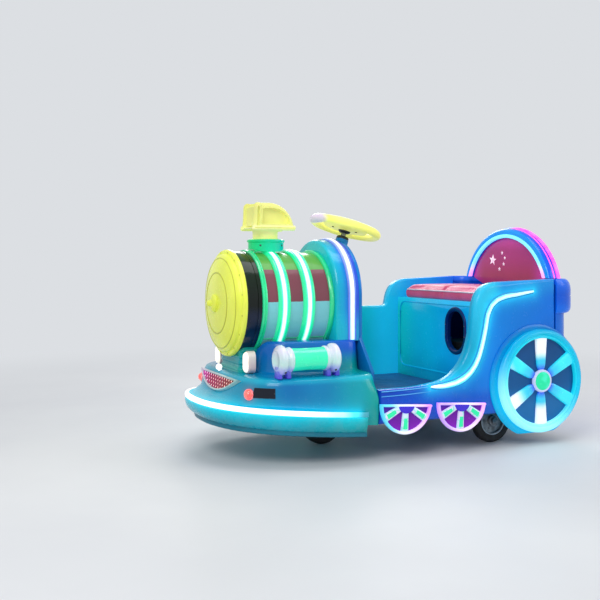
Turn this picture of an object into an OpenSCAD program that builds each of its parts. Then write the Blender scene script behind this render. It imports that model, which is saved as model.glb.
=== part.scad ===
// Fairground bumper car in the form of a small steam engine with an open rear seat.
// +X is forward, +Y is the left side, +Z is up, and the origin is on the ground below the
// middle of the car. All sizes are in millimetres.

/* [Overall] */
// Foremost point of the bumper
nose_x = 1050; // [1040:1:1060]
// Rearmost point of the rear rim
tail_x = -1050; // [-1060:1:-1040]
// Outer face of the side walls, from the middle
wall_y = 510; // [504:1:516]
// Height of the footwell floor
floor_z = 288; // [284:1:296]
// Thickness of the floor pan
floor_t = 10; // [8:0.5:12]

/* [Front body] */
// Rear face of the front body, at the footwell
body_rear_x = 240; // [232:1:248]
// Radius of the front body's rear corners in plan
body_corner_r = 70; // [50:1:85]
// Bottom edge of the body shells
body_z0 = 182; // [176:1:190]
// Height of the bumper's top line at the nose
bumper_line_z = 302; // [298:1:306]
// How much lower the bumper's line is at its rear ends
bumper_drop = 52; // [40:1:60]
// Height of the shoulder that carries the side cylinders
shoulder_z = 432; // [426:1:440]
// Height of the pedestal below the boiler
pedestal_z = 590; // [584:1:596]
// Thickness of the body shells
shell_t = 7; // [5:0.5:9]
// How far the bumper stands out of the body
bumper_bulge = 34; // [28:1:38]
// Height of the bumper
bumper_h = 118; // [112:1:124]
// Length over which the bumper's ends are rounded off
bumper_end_l = 60; // [50:1:70]
// Height of the light strip in the bumper
bumper_led_h = 24; // [20:1:28]

/* [Boiler] */
// Height of the boiler's axis
boiler_z = 778; // [774:1:784]
// Radius of the boiler barrel
boiler_r = 262; // [256:1:266]
// Front end of the boiler barrel
boiler_front_x = 768; // [762:1:774]
// Height of the hoops on the boiler
hoop_h = 14; // [11:1:16]
// Width of a lit hoop
hoop_w = 66; // [58:1:72]
// Width of the light strip in a hoop
hoop_led_w = 32; // [24:1:38]
// Width of the plain front hoop
front_hoop_w = 26; // [20:1:32]
// Place of the first lit hoop
hoop_x = 648; // [642:1:654]
// Distance between the lit hoops
hoop_pitch = 137; // [131:1:141]
// Length of the dark smokebox ring
smokebox_l = 79; // [73:1:85]
// Bulge of the smokebox door
door_bulge = 52; // [44:1:60]

// Width of the saddle below the smokebox, at its foot
saddle_w0 = 250; // [220:1:270]
// Width of the saddle at its top
saddle_w1 = 330; // [300:1:340]
// How far the saddle's front stands behind the smokebox door
saddle_back = 7; // [4:0.5:12]
// Length of the saddle
saddle_l = 112; // [104:1:118]

/* [Chimney] */
// Place of the chimney along the boiler
chimney_x = 640; // [634:1:646]
// Radius of the collar
collar_r = 94; // [88:1:98]
// Height of the collar above the boiler barrel
collar_h = 70; // [64:1:76]
// Radius of the neck
neck_r = 66; // [60:1:72]
// Length of the neck between the collar and the cap
neck_l = 45; // [38:1:52]
// Height of the cap
cap_h = 145; // [135:1:151]
// Length of the cap
cap_l = 232; // [222:1:240]
// Half width of the cap
cap_half_w = 95; // [88:1:102]

/* [Lamps] */
// Radius of the headlamps' rounded ends
lamp_r = 31; // [27:1:33]
// Height of the headlamps
lamp_h = 112; // [100:1:122]
// Length of the headlamps
lamp_l = 40; // [34:1:46]
// How far the headlamps' rear stands behind the smokebox door
lamp_back = 55; // [50:1:60]
// Distance of the headlamps from the middle
lamp_y = 206; // [202:1:216]
// Radius of the round signal lamps
signal_r = 26; // [22:1:28]
// Height of the signal lamps above the bumper's line
signal_dz = 51; // [50:1:56]
// Angle of the signal lamps round the nose
signal_a = 31; // [28:1:34]

/* [Grille] */
// Height of the grille's flat top edge
grille_z = 414; // [410:1:420]
// Depth of the half-moon grille
grille_depth = 88; // [80:1:94]
// Half width of the grille
grille_half_w = 276; // [262:1:284]
// Width of the grille's rim
grille_rim_w = 12; // [10:1:15]
// Width of a lattice bar
grille_bar_w = 9; // [7:0.5:10]
// Distance between the lattice bars
grille_pitch = 22; // [19:1:26]

/* [Hood] */
// Half width of the hood behind the boiler
hood_half_w = 294; // [288:1:302]
// Height where the hood's round top starts
hood_spring_z = 816; // [812:1:822]
// Front edge of the hood
hood_front_x = 372; // [366:1:378]
// Wall thickness of the hood
hood_t = 8; // [6:0.5:10]
// Thickness of the dash panel that closes the hood
dash_t = 18; // [14:1:22]
// Width of the hood's light strip
hood_led_w = 46; // [38:1:52]
// Place of the hood's light strip
hood_led_x = 282; // [276:1:290]

/* [Side cylinders] */
// Distance of the side cylinders from the middle
cylinder_y = 416; // [412:1:420]
// Radius of the cylinder tube
cylinder_r = 56; // [50:1:60]
// Radius of the end flanges
flange_r = 72; // [66:1:76]
// Rear end of the side cylinders
cylinder_x0 = 432; // [426:1:438]
// Length of the side cylinders
cylinder_l = 330; // [318:1:340]
// Length of each end flange
flange_l = 78; // [72:1:84]

/* [Wheels] */
// Radius of the tyres
tyre_r = 120; // [116:1:123]
// Width of the tyres
tyre_w = 56; // [48:1:60]
// Radius of the wheel hubs
hub_r = 78; // [72:1:84]
// Place of the front wheel
front_wheel_x = 310; // [304:1:316]
// Place of the rear wheels
rear_wheel_x = -552; // [-560:1:-544]
// Distance of the rear wheels from the middle
rear_wheel_y = 352; // [346:1:358]
// Radius of the axle pins
axle_r = 10; // [8:0.5:12]
// Running clearance round the axle pins
axle_gap = 0.05; // [0.03:0.01:0.08]
// Side clearance between a hub and what stands beside it
side_gap = 6; // [5:0.5:8]

/* [Steering] */
// Radius of the steering wheel, to the middle of its rim
steer_r = 178; // [172:1:182]
// Radius of the rim's section
steer_rim_r = 20; // [17:0.5:22]
// Place of the steering wheel's middle
steer_x = 164; // [158:1:168]
// Height of the steering wheel's middle
steer_z = 1177; // [1172:1:1184]
// Tilt of the steering wheel towards the rider
steer_tilt = 17; // [15:0.5:19]
// Radius of the steering shaft
shaft_r = 14; // [12:0.5:16]

/* [Rear body] */
// Thickness of the side walls
wall_t = 62; // [56:1:68]
// Height of the sill
sill_z = 354; // [348:1:362]
// Place of the upright front edge of the left wall
sweep_x = -330; // [-338:1:-322]
// Length of the sweep from that edge down to the sill
sweep_l = 240; // [225:1:255]
// Width of the light strip on the walls
wall_led_w = 26; // [22:1:30]
// Height of the closed right side beside the footwell
side_panel_z = 716; // [708:1:724]
// Height of the side walls beside the seat
wall_top_z = 884; // [878:1:890]
// Radius of the rear corners in plan
rear_corner_r = 130; // [110:1:150]
// Thickness of the rear wall
rear_t = 24; // [20:1:30]
// How far the rear rim stands out of the rear wall
rim_bulge = 45; // [38:1:50]
// Lower edge of the rear rim
rim_z0 = 705; // [695:1:715]
// Front face of the seat box
seat_x = -450; // [-458:1:-442]
// Height of the seat deck below the cushion
seat_deck_z = 768; // [762:1:774]
// Thickness of the seat box's panels
seat_panel_t = 18; // [14:1:22]
// Middle of the oval hatch in the seat box, from the middle of the car
hatch_y = 172; // [160:1:184]
// Height of the hatch's middle
hatch_z = 600; // [594:1:610]
// Half height of the hatch
hatch_r = 112; // [104:1:118]
// Thickness of the seat cushion
cushion_t = 66; // [60:1:72]
// Distance from the tail to the front face of the backrest arch
back_in = 122; // [116:1:128]
// Half width of the backrest arch
back_half_w = 412; // [404:1:420]
// Height where the arch starts to close
back_spring_z = 782; // [774:1:792]
// Top of the backrest arch
back_top_z = 1190; // [1180:1:1198]
// Width of the backrest arch band
back_band = 56; // [48:1:64]
// Thickness of the backrest arch from front to back
back_t = 92; // [84:1:96]

/* [Drive] */
// Length of the battery below the seat
battery_l = 280; // [240:1:300]
// Width of the battery
battery_w = 300; // [260:1:340]
// Height of the battery
battery_h = 230; // [200:1:235]
// Distance between the battery and the seat box's front
battery_gap = 110; // [90:1:120]
// Length of the pedal
pedal_l = 100; // [90:1:120]
// Width of the pedal
pedal_w = 80; // [66:1:90]
// Height of the pedal's upper end
pedal_h = 72; // [64:1:80]
// Distance of the pedal from the middle
pedal_y = 100; // [90:1:120]
// Distance between the pedal and the dash panel
pedal_gap = 40; // [32:1:60]

/* [Large wheels] */
// Place of the large ornamental wheels
large_x = -753; // [-758:1:-748]
// Height of the large wheels' middle
large_z = 346; // [340:1:352]
// Outer radius of the large wheels
large_r = 279; // [272:1:284]
// Width of their rim
large_rim_w = 48; // [42:1:56]
// Radius of their hub
large_hub_r = 62; // [56:1:68]
// Width of a spoke at the rim
large_spoke_w = 74; // [64:1:82]
// Outer face of the large wheels, from the middle
large_y = 550; // [546:1:554]
// Radius of the raised fender disc behind them
fender_r = 306; // [300:1:312]
// How far the fender disc is set forward of the wheel
fender_dx = 22; // [16:1:26]

/* [Half wheels] */
// Radius of the ornamental half wheels
half_r = 149; // [144:1:153]
// Height of their flat top edge
half_z = 270; // [264:1:274]
// Place of the front half wheel
half_x = 98; // [94:1:102]
// Distance between the two half wheels
half_pitch = 336; // [330:1:342]
// How much lower the rear half wheel sits
half_drop = 8; // [4:1:12]
// Width of their rim and top bar
half_rim_w = 20; // [16:1:24]

/* [Hidden] */

// Gap between pieces that lie against each other, and between the bumper and the body
seat_gap = 0.3;
bumper_gap = 0.7;
round_fn = 96;
middle_fn = 48;
small_fn = 32;

body_mid_x = body_rear_x + body_corner_r;
body_nose_x = nose_x - bumper_bulge - bumper_gap;
hoop_r = boiler_r + hoop_h;
// Share of the chimney cap's length that lies behind the chimney's middle
cap_back = 0.5776;
hoop_led_h = 3;
door_x = boiler_front_x + smokebox_l;
collar_z1 = boiler_z + boiler_r + collar_h;
cap_z0 = collar_z1 + neck_l;
cap_z1 = cap_z0 + cap_h;
deck_nose_x = body_nose_x - 140;
deck_rise = 3;
// How far the grille's rim reaches back to the curved nose
grille_back = 20;

// Rows of the front body, from the bottom edge up to the boiler:
// height at the nose, nose X, half width, exponent of the rounded plan, radius of the
// rear corners and how much lower the row is at the rear
BODY_ROWS = [
    [body_z0 + bumper_drop, body_nose_x - 24, wall_y - 8, 2.4, 16, bumper_drop],
    [bumper_line_z, body_nose_x, wall_y, 2.4, 16, bumper_drop],
    [bumper_line_z + 24, body_nose_x - 84, wall_y - 3, 3.4, 16, 0.3 * bumper_drop],
    [shoulder_z - 26, body_nose_x - 114, wall_y - 20, 4.0, body_corner_r, 0],
    [shoulder_z - 7, body_nose_x - 124, wall_y - 34, 4.0, body_corner_r, 0],
    [shoulder_z, deck_nose_x, wall_y - 56, 3.8, body_corner_r, 0],
    [shoulder_z + deck_rise, body_nose_x - 226, hood_half_w + 48, 3.4, body_corner_r, 0],
    [shoulder_z + 22, body_nose_x - 238, hood_half_w + 34, 3.5, body_corner_r, 0],
    [pedestal_z - 14, body_nose_x - 254, hood_half_w + 16, 3.7, body_corner_r, 0],
    [pedestal_z, body_nose_x - 268, hood_half_w + 2, 3.8, body_corner_r, 0],
    [pedestal_z, body_nose_x - 276, hood_half_w - 84, 4.0, body_corner_r, 0]];
BODY_STEPS = 32;
CORNER_STEPS = 3;
EDGE_STEPS = 3;
BACK_STEPS = 30;
HOOD_STEPS = 24;

// Profile of the bumper: how far out of the body's bottom row, and how far above it
line = bumper_line_z - body_z0 - bumper_drop;
lip = line - bumper_h;
bumper_in = BODY_ROWS[1][1] - BODY_ROWS[0][1];
BUMPER_PROFILE = [[0, 0], [-40, -11], [-84, -24], [-90, lip], [-52, lip], [-10, lip + 9],
    [26, lip + 25], [48, lip + 46], [57, lip + 68], [57, line - bumper_led_h - 4],
    [54, line - bumper_led_h], [38, line - bumper_led_h], [38, line], [bumper_in, line]];
// Profile of its light strip, which is then moved out by the same gap as the body has
led_out = bumper_in + bumper_bulge - bumper_gap;
LED_PROFILE = [[38, line - bumper_led_h + bumper_gap], [54 - bumper_gap, line - bumper_led_h + bumper_gap],
    [led_out, line - 16], [55 - bumper_gap, line - 5], [42, line], [38, line]];

wall_in_y = wall_y - wall_t;
rear_x = tail_x + rim_bulge + seat_gap;
back_x = tail_x + back_in;
wall_rear_x = rear_x + rear_corner_r;
wall_front_x = body_rear_x - 2 * seat_gap;
// How far the rear rim reaches over the walls' top, and down behind it onto the rear wall
rim_over_h = 12;
rim_seat_h = 20;
wall_led_t = 8;
boiler_back_x = hood_front_x - hood_t;

// The steering wheel's axis meets the fork's axis at this distance below the wheel
joint_drop = (front_wheel_x - steer_x) / sin(steer_tilt);
joint_z = steer_z - joint_drop * cos(steer_tilt);
joint_room = 34;
cowl_r = 36;

// Height of the backrest arch's feet, on the rear rim
back_z0 = wall_top_z + rim_over_h + seat_gap;
// Width and depth of the light strip in the arch
back_led_w = 22;
back_led_t = 12;
back_led_proud = 2;
// Place of the backrest panel behind the arch's front face, and its thickness
back_panel_in = 20;
back_panel_t = 26;

rail_h = 40;
rail_w = 40;
rail_y = 220;
rail_z1 = floor_z - floor_t;
rail_x0 = -960;
rail_x1 = 560;
member_w = 50;
headstock_r = 26;
headstock_z0 = 2 * tyre_r + 46;
headstock_z1 = headstock_z0 + 60;
stem_r = 16;
stem_gap = 0.05;
crown_z0 = 2 * tyre_r + 14;
arm_y = tyre_w / 2 + side_gap;
arm_t = 8;

bolt_r = 6.5;
bolt_dx = 600;
bolt_dy = 300;
bolt_x = -150;

// A cubic curve through four control points, without its last point
function curve(p0, p1, p2, p3, steps) = [for (i = [0 : steps - 1]) let (t = i / steps, s = 1 - t)
    s * s * s * p0 + 3 * s * s * t * p1 + 3 * s * t * t * p2 + t * t * t * p3];

function signed_pow(v, e) = sign(v) * pow(abs(v), e);

// Plan of the front body from its right rear corner round the nose to the left one
function nose_point(nose, half, e, a) = [
    body_mid_x + (nose - body_mid_x) * pow(abs(cos(a)), 2 / e), half * signed_pow(sin(a), 2 / e)];
function corner_point(half, r, i) = let (a = 90 * i / CORNER_STEPS)
    [body_rear_x + r - r * cos(a), half - r + r * sin(a)];
function plan(nose, half, e, r) = concat(
    [for (i = [0 : CORNER_STEPS - 1]) let (p = corner_point(half, r, i)) [p[0], -p[1]]],
    [for (i = [0 : BODY_STEPS]) nose_point(nose, half, e, -90 + 180 * i / BODY_STEPS)],
    [for (i = [CORNER_STEPS - 1 : -1 : 0]) corner_point(half, r, i)]);

// How much lower a row is at x, from nothing at the nose to its whole drop at the rear
function drop_at(x, nose, drop) = drop * (nose - x) / (nose - body_rear_x);
function plan_row(r, d = [0, 0]) = [for (p = plan(r[1] - d[1], r[2] - d[1], r[3], r[4]))
    [p[0], p[1], r[0] + d[0] - drop_at(p[0], r[1], r[5])]];

// Inward direction across the rows of the front body
function row_inward(i) = let (
    a = BODY_ROWS[max(i - 1, 0)],
    b = BODY_ROWS[min(i + 1, len(BODY_ROWS) - 1)],
    d = [b[2] - a[2], b[0] - a[0]]) d / norm(d);

// Value of column c of the front body's rows at a height z
function body_at(z, c, i = 0) = let (a = BODY_ROWS[i], b = BODY_ROWS[i + 1])
    z <= b[0] || i == len(BODY_ROWS) - 3 ? a[c] + (b[c] - a[c]) * (z - a[0]) / (b[0] - a[0])
    : body_at(z, c, i + 1);
function body_point(z, a) = nose_point(body_at(z, 1), body_at(z, 2), body_at(z, 3), a);

// Faces of a grid of m rows with n points each, from point number s on
function grid_faces(m, n, s, flip) = [for (i = [0 : m - 2], j = [0 : n - 2]) flip
    ? [s + i * n + j, s + i * n + j + 1, s + (i + 1) * n + j + 1, s + (i + 1) * n + j]
    : [s + i * n + j, s + (i + 1) * n + j, s + (i + 1) * n + j + 1, s + i * n + j + 1]];

// A closed sheet between an outer and an inner grid of points
module thick_sheet(outer, inner) {
    m = len(outer);
    n = len(outer[0]);
    s = m * n;
    e = (m - 1) * n;
    faces = concat(grid_faces(m, n, 0, false), grid_faces(m, n, s, true),
        [for (j = [0 : n - 2]) [j, j + 1, s + j + 1, s + j]],
        [for (j = [0 : n - 2]) [e + j, s + e + j, s + e + j + 1, e + j + 1]],
        [for (i = [0 : m - 2]) [i * n, s + i * n, s + (i + 1) * n, (i + 1) * n]],
        [for (i = [1 : m - 1]) [i * n - 1, (i + 1) * n - 1, s + (i + 1) * n - 1, s + i * n - 1]]);
    polyhedron(concat([for (r = outer) each r], [for (r = inner) each r]), faces, convexity = 6);
}

// A closed body through rings of points, with flat ends; point 0 of a ring sees all its others
module ring_body(rings) {
    m = len(rings);
    n = len(rings[0]);
    faces = concat([[for (j = [0 : n - 1]) j]],
        [for (i = [0 : m - 2], j = [0 : n - 1])
            [i * n + j, (i + 1) * n + j, (i + 1) * n + (j + 1) % n, i * n + (j + 1) % n]],
        [[for (j = [n : -1 : 1]) (m - 1) * n + j % n]]);
    polyhedron([for (r = rings) each r], faces, convexity = 8);
}

// Direction square to a path at point i, to its right
function path_side(path, i) = let (
    a = path[max(i - 1, 0)],
    b = path[min(i + 1, len(path) - 1)],
    t = (b - a) / norm(b - a)) [t[1], -t[0]];

// An outline moved inwards by d; its points run clockwise
function inset(pts, d) = let (n = len(pts)) [for (i = [0 : n - 1]) let (
    a = pts[(i + n - 1) % n],
    b = pts[(i + 1) % n],
    t = (b - a) / norm(b - a)) pts[i] + d * [t[1], -t[0]]];

// Rings of a pad from level 0 to h, each with its outline; its edges are rounded by r
function pad_rings(pts, h, r, both) = let (da = 90 / EDGE_STEPS) concat(
    both ? [for (k = [0 : EDGE_STEPS]) [inset(pts, r * (1 - sin(k * da))), r * (1 - cos(k * da))]]
         : [[pts, 0]],
    [for (k = [0 : EDGE_STEPS]) [inset(pts, r * (1 - cos(k * da))), h - r + r * sin(k * da)]]);

// A pad in the X and Z plane from y0 to y1, rounded at y1, or at both faces
module side_pad(pts, y0, y1, r, both = false) {
    dir = sign(y1 - y0);
    rings = [for (q = pad_rings(pts, abs(y1 - y0), r, both))
        [for (p = q[0]) [p[0], y0 + dir * q[1], p[1]]]];
    ring_body(dir > 0 ? rings : [for (i = [len(rings) - 1 : -1 : 0]) rings[i]]);
}

// A flat outline in X and Z, extruded from y0 to y1
module side_plate(y0, y1) {
    translate([0, y1, 0]) rotate([90, 0, 0]) linear_extrude(y1 - y0) children();
}

// A flat outline in Y and Z, extruded from x0 to x1
module cross_plate(x0, x1) {
    translate([x0, 0, 0]) rotate([90, 0, 90]) linear_extrude(x1 - x0) children();
}

// A profile of radius and X, turned round the boiler's axis
module boiler_turn() {
    translate([0, 0, boiler_z]) rotate([0, 90, 0]) rotate_extrude($fn = round_fn) children();
}

// The same piece on both sides of the car
module both_sides() {
    children();
    mirror([0, 1, 0]) children();
}

module block(a, b) {
    translate(a) cube(b - a);
}

// A rectangle between two corners
module box_2d(a, b) {
    translate(a) square(b - a);
}

module chassis() color("dimgray") {
    rail_out = rail_y + rail_w / 2;
    difference() {
        union() {
            both_sides() block([rail_x0, rail_y - rail_w / 2, rail_z1 - rail_h],
                [rail_x1, rail_out, rail_z1]);
            for (x = [bolt_x - bolt_dx / 2, bolt_x + bolt_dx / 2, rail_x0 + member_w / 2])
                block([x - member_w / 2, -rail_out, rail_z1 - rail_h],
                    [x + member_w / 2, rail_out, rail_z1]);
            both_sides() block([front_wheel_x - member_w / 2, rail_y - rail_w / 2, rail_z1 - 1],
                [front_wheel_x + member_w / 2, rail_out, headstock_z1 - 10]);
            block([front_wheel_x - member_w / 2, -rail_out, headstock_z0 + 10],
                [front_wheel_x + member_w / 2, rail_out, headstock_z1 - 10]);
            translate([front_wheel_x, 0, headstock_z0])
                cylinder(h = headstock_z1 - headstock_z0, r = headstock_r, $fn = small_fn);
        }
        translate([front_wheel_x, 0, headstock_z0 - 1])
            cylinder(h = headstock_z1 - headstock_z0 + 2, r = stem_r + stem_gap, $fn = small_fn);
        for (sx = [-1, 1], sy = [-1, 1])
            translate([bolt_x + sx * bolt_dx / 2, sy * bolt_dy / 2, rail_z1 - rail_h - 1])
                cylinder(h = rail_h + 2, r = bolt_r, $fn = small_fn);
    }
}

module floor_pan() color("#0a5fa8") {
    translate([0, 0, rail_z1]) linear_extrude(floor_z - rail_z1)
        cabin_2d(body_rear_x - dash_t - 2 * seat_gap);
}

module front_body() color("#0a8fb5") {
    difference() {
        thick_sheet([for (r = BODY_ROWS) plan_row(r)],
            [for (i = [0 : len(BODY_ROWS) - 1]) plan_row(BODY_ROWS[i], shell_t * row_inward(i))]);
        boiler_trough();
    }
}

// The room that the hooped boiler takes out of what carries it
module boiler_trough() {
    translate([boiler_back_x, 0, boiler_z]) rotate([0, 90, 0])
        cylinder(h = nose_x, r = hoop_r + hoop_led_h + seat_gap, $fn = round_fn);
}

// One ring of the bumper at a plan angle; what stands out of the body is scaled by f, dx
// moves the ring back and gap moves it out
function bumper_ring(profile, a, f, dx, gap) = let (b = BODY_ROWS[0]) [for (p = profile) let (
    face = bumper_in * min(max(p[1] / (line - bumper_led_h), 0), 1),
    o = (p[0] > face ? face + f * (p[0] - face) : p[0]) + gap,
    q = nose_point(b[1] + o + bumper_gap, b[2] + (o > 0 ? 0.6 * o : o) + bumper_gap, b[3], a))
    [q[0] - dx, q[1], b[0] + p[1] - drop_at(q[0] - dx, b[1], b[5])]];

// A profile swept round the front body, next to its outer face, with rounded ends
module bumper_sweep(profile, gap) {
    n = BODY_STEPS;
    ends = 3;
    l = bumper_end_l;
    turns = [for (k = [0 : ends - 1]) 90 - 90 * k / ends];
    ring_body(concat(
        [for (t = turns) bumper_ring(profile, 90, max(cos(t), 0.05), l * sin(t) - l, gap)],
        [for (i = [1 : n - 1]) bumper_ring(profile, 90 - 180 * i / n, 1, 0, gap)],
        [for (k = [ends - 1 : -1 : 0]) let (t = turns[k])
            bumper_ring(profile, -90, max(cos(t), 0.05), l * sin(t) - l, gap)]));
}

module bumper() color("#0b93b8") {
    bumper_sweep(BUMPER_PROFILE, 0);
}

module bumper_light() color("#e8ffff") {
    bumper_sweep(LED_PROFILE, bumper_gap);
}

module boiler() color("#8a5a50") {
    boiler_turn() box_2d([0, boiler_back_x], [boiler_r, boiler_front_x]);
}

module boiler_hoops() color("#30e8a0") {
    r0 = boiler_r + seat_gap;
    groove = 6;
    boiler_turn() box_2d([r0, boiler_front_x - front_hoop_w], [hoop_r, boiler_front_x]);
    for (k = [0, 1]) boiler_turn() translate([0, hoop_x - k * hoop_pitch]) difference() {
        box_2d([r0, -hoop_w / 2], [hoop_r, hoop_w / 2]);
        box_2d([hoop_r - groove, -hoop_led_w / 2], [hoop_r + 1, hoop_led_w / 2]);
    }
    boiler_turn() box_2d([r0, hood_front_x + seat_gap], [hoop_r, hood_front_x + 22]);
}

module hoop_lights() color("white") {
    for (k = [0, 1]) boiler_turn() translate([0, hoop_x - k * hoop_pitch])
        box_2d([hoop_r - 6 + seat_gap, -hoop_led_w / 2 + seat_gap],
            [hoop_r + hoop_led_h, hoop_led_w / 2 - seat_gap]);
}

module smokebox_ring() color("#101418") {
    boiler_turn() box_2d([0, boiler_front_x + seat_gap], [boiler_r + 6, door_x]);
}

module smokebox_door() color("#e6f050") {
    dome_r = hoop_r - 20;
    dome_x = door_x + 26;
    boss_r = 46;
    boiler_turn() polygon(concat(
        [[0, door_x + seat_gap], [hoop_r - 4, door_x + seat_gap], [hoop_r, door_x + 6],
            [hoop_r, door_x + 18], [hoop_r - 8, dome_x]],
        [for (i = [0 : 7]) let (a = 11 * i) [dome_r * cos(a), dome_x + door_bulge * sin(a)]],
        [[boss_r, dome_x + door_bulge], [boss_r, dome_x + door_bulge + 14],
            [boss_r - 10, dome_x + door_bulge + 22], [18, dome_x + door_bulge + 24],
            [16, dome_x + door_bulge + 40], [0, dome_x + door_bulge + 44]]));
}

module chimney_collar() color("#20d8b0") {
    z0 = boiler_z + boiler_r - 24;
    difference() {
        union() {
            translate([chimney_x, 0, z0]) cylinder(h = collar_z1 - z0, r = collar_r, $fn = middle_fn);
            translate([chimney_x, 0, collar_z1 - 16]) cylinder(h = 12, r = collar_r + 6, $fn = middle_fn);
        }
        boiler_trough();
    }
}

module chimney_cap() color("#f2f5a0") {
    l = cap_l;
    h = cap_h;
    x0 = chimney_x - cap_back * l;
    side_pad([for (p = concat([[0, 0]],
        curve([0.004, 0.152], [0.05, 0.545], [0.267, 1], [0.603, 1], 8),
        [[0.603, 1], [0.897, 1], [0.966, 0.945], [1, 0.834], [1.009, 0.234], [1.06, 0]]))
        [x0 + l * p[0], cap_z0 + h * p[1]]], -cap_half_w, cap_half_w, 14, both = true);
    translate([chimney_x + 4, 0, collar_z1 + seat_gap])
        cylinder(h = cap_z0 - collar_z1 + 4, r = neck_r, $fn = middle_fn);
}

module front_saddle() color("#178f9a") {
    z0 = shoulder_z + deck_rise + seat_gap;
    z1 = pedestal_z - 2;
    difference() {
        cross_plate(door_x - saddle_back - saddle_l, door_x - saddle_back) polygon([[-saddle_w0 / 2, z0],
            [-saddle_w1 / 2, z1], [saddle_w1 / 2, z1], [saddle_w0 / 2, z0]]);
        boiler_trough();
        body_core(5, len(BODY_ROWS) - 2);
    }
}

module headlamps() color("white") {
    z = shoulder_z + 0.75 * deck_rise + seat_gap + lamp_h / 2;
    c = lamp_h / 2 - lamp_r;
    both_sides() translate([door_x - lamp_back, lamp_y, z]) rotate([0, 90, 0]) union() {
        for (dx = [-c, c]) translate([dx, 0, 0]) cylinder(h = lamp_l, r = lamp_r, $fn = small_fn);
        translate([-c, -lamp_r, 0]) cube([2 * c, 2 * lamp_r, lamp_l]);
    }
}

// The room that the front body takes, from one of its rows up to another
module body_core(i0, i1) {
    ring_body([for (i = [i0 : i1]) plan_row(BODY_ROWS[i], [0, -seat_gap])]);
}

// Places its children on the sloping nose, x pointing down the slope and z out of it
module on_nose() {
    a = BODY_ROWS[2];
    b = BODY_ROWS[3];
    slope = atan2(b[0] - a[0], a[1] - b[1]);
    translate([b[1] - (grille_z - b[0]) / tan(slope) + seat_gap / sin(slope), 0, grille_z])
        rotate([0, slope, 0]) children();
}

// The grille's half-moon, with its flat edge at x = 0
module half_moon(depth, half_w) {
    r = (half_w * half_w + depth * depth) / (2 * depth);
    intersection() {
        translate([depth - r, 0]) circle(r = r, $fn = round_fn);
        box_2d([0, -half_w - 1], [depth + 1, half_w + 1]);
    }
}

module grille_rim() color("#f0e8f4") {
    difference() {
        on_nose() translate([0, 0, -grille_back]) linear_extrude(grille_back + 12) difference() {
            half_moon(grille_depth, grille_half_w);
            translate([grille_rim_w, 0])
                half_moon(grille_depth - 2 * grille_rim_w, grille_half_w - 3 * grille_rim_w);
        }
        body_core(1, 6);
    }
}

module grille_lattice() color("#c03858") {
    d = grille_depth - 2 * grille_rim_w - 2 * seat_gap;
    h = grille_half_w - 3 * grille_rim_w - 2 * seat_gap;
    w = 0.5 * grille_bar_w;
    n = ceil(0.75 * grille_half_w / grille_pitch);
    on_nose() translate([grille_rim_w + seat_gap, 0, 2]) linear_extrude(0.5 * grille_rim_w) {
        intersection() {
            half_moon(d, h);
            for (a = [-45, 45], k = [-n : n]) rotate(a) translate([k * grille_pitch, 0])
                box_2d([-w, -grille_half_w], [w, grille_half_w]);
        }
        difference() {
            half_moon(d, h);
            translate([w, 0]) half_moon(d - 2 * w, h - 6 * w);
        }
    }
}

// Places its children on the front body's side at a height and a plan angle, z pointing out
module on_body(z, a, out) {
    p = body_point(z, a);
    q = body_point(z, a + 2);
    t = (q - p) / norm(q - p);
    translate([p[0] + out * t[1], p[1] - out * t[0], z]) rotate([0, 0, atan2(-t[0], t[1])])
        rotate([0, 90, 0]) children();
}

module signal_lamps() color("#ff4a40") {
    r = signal_r;
    both_sides() on_body(bumper_line_z + signal_dz, signal_a, 3)
        rotate_extrude($fn = small_fn)
            polygon([[0, 0], [r, 0], [r, 0.3 * r], [0.77 * r, 0.7 * r], [0.38 * r, 0.9 * r], [0, 0.96 * r]]);
}

// Points of one arch of the hood at x, with radius r about zc; a round one also closes in below
function hood_leg(x, r, zc, z, t, round) = let (a = asin((zc - z) / r) * (1 - t))
    round ? [x, r * cos(a), zc - r * sin(a)] : [x, r, z + (zc - z) * t];
function hood_row(x, r, zc, round) = let (
    n = 6,
    z = pedestal_z + seat_gap,
    leg = [for (i = [0 : n - 1]) hood_leg(x, r, zc, z, i / n, round)])
    concat(leg, [for (i = [0 : HOOD_STEPS]) let (a = 180 * i / HOOD_STEPS) [x, r * cos(a), zc + r * sin(a)]],
        [for (i = [n - 1 : -1 : 0]) [leg[i][0], -leg[i][1], leg[i][2]]]);

module hood() color("#0a6fd8") {
    h = hood_half_w;
    c = hood_spring_z;
    r0 = (boiler_r + seat_gap) / cos(90 / HOOD_STEPS);
    stations = [[body_rear_x, h], [hood_front_x - 26, h], [hood_front_x - 10, h - 5],
        [hood_front_x - 2, h - 14]];
    outer = concat([for (s = stations) hood_row(s[0], s[1], c, false)],
        [hood_row(hood_front_x, r0, boiler_z, true)]);
    inner = concat([for (s = stations) hood_row(s[0] - (s[1] < h ? hood_t : 0), s[1] - hood_t, c, false)],
        [hood_row(hood_front_x - hood_t, r0, boiler_z, true)]);
    thick_sheet(outer, inner);
}

// The hood's arch outline, widened by d, down to z0
module arch_2d(d, z0) {
    intersection() {
        translate([0, hood_spring_z]) circle(r = hood_half_w + d, $fn = round_fn);
        box_2d([-hood_half_w - d, hood_spring_z - 1], [hood_half_w + d, hood_spring_z + hood_half_w + d]);
    }
    box_2d([-hood_half_w - d, z0], [hood_half_w + d, hood_spring_z]);
}

module hood_light() color("#f4f0ff") {
    cross_plate(hood_led_x - hood_led_w / 2, hood_led_x + hood_led_w / 2) difference() {
        arch_2d(10, pedestal_z + seat_gap);
        arch_2d(seat_gap, pedestal_z - 1);
    }
}

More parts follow.
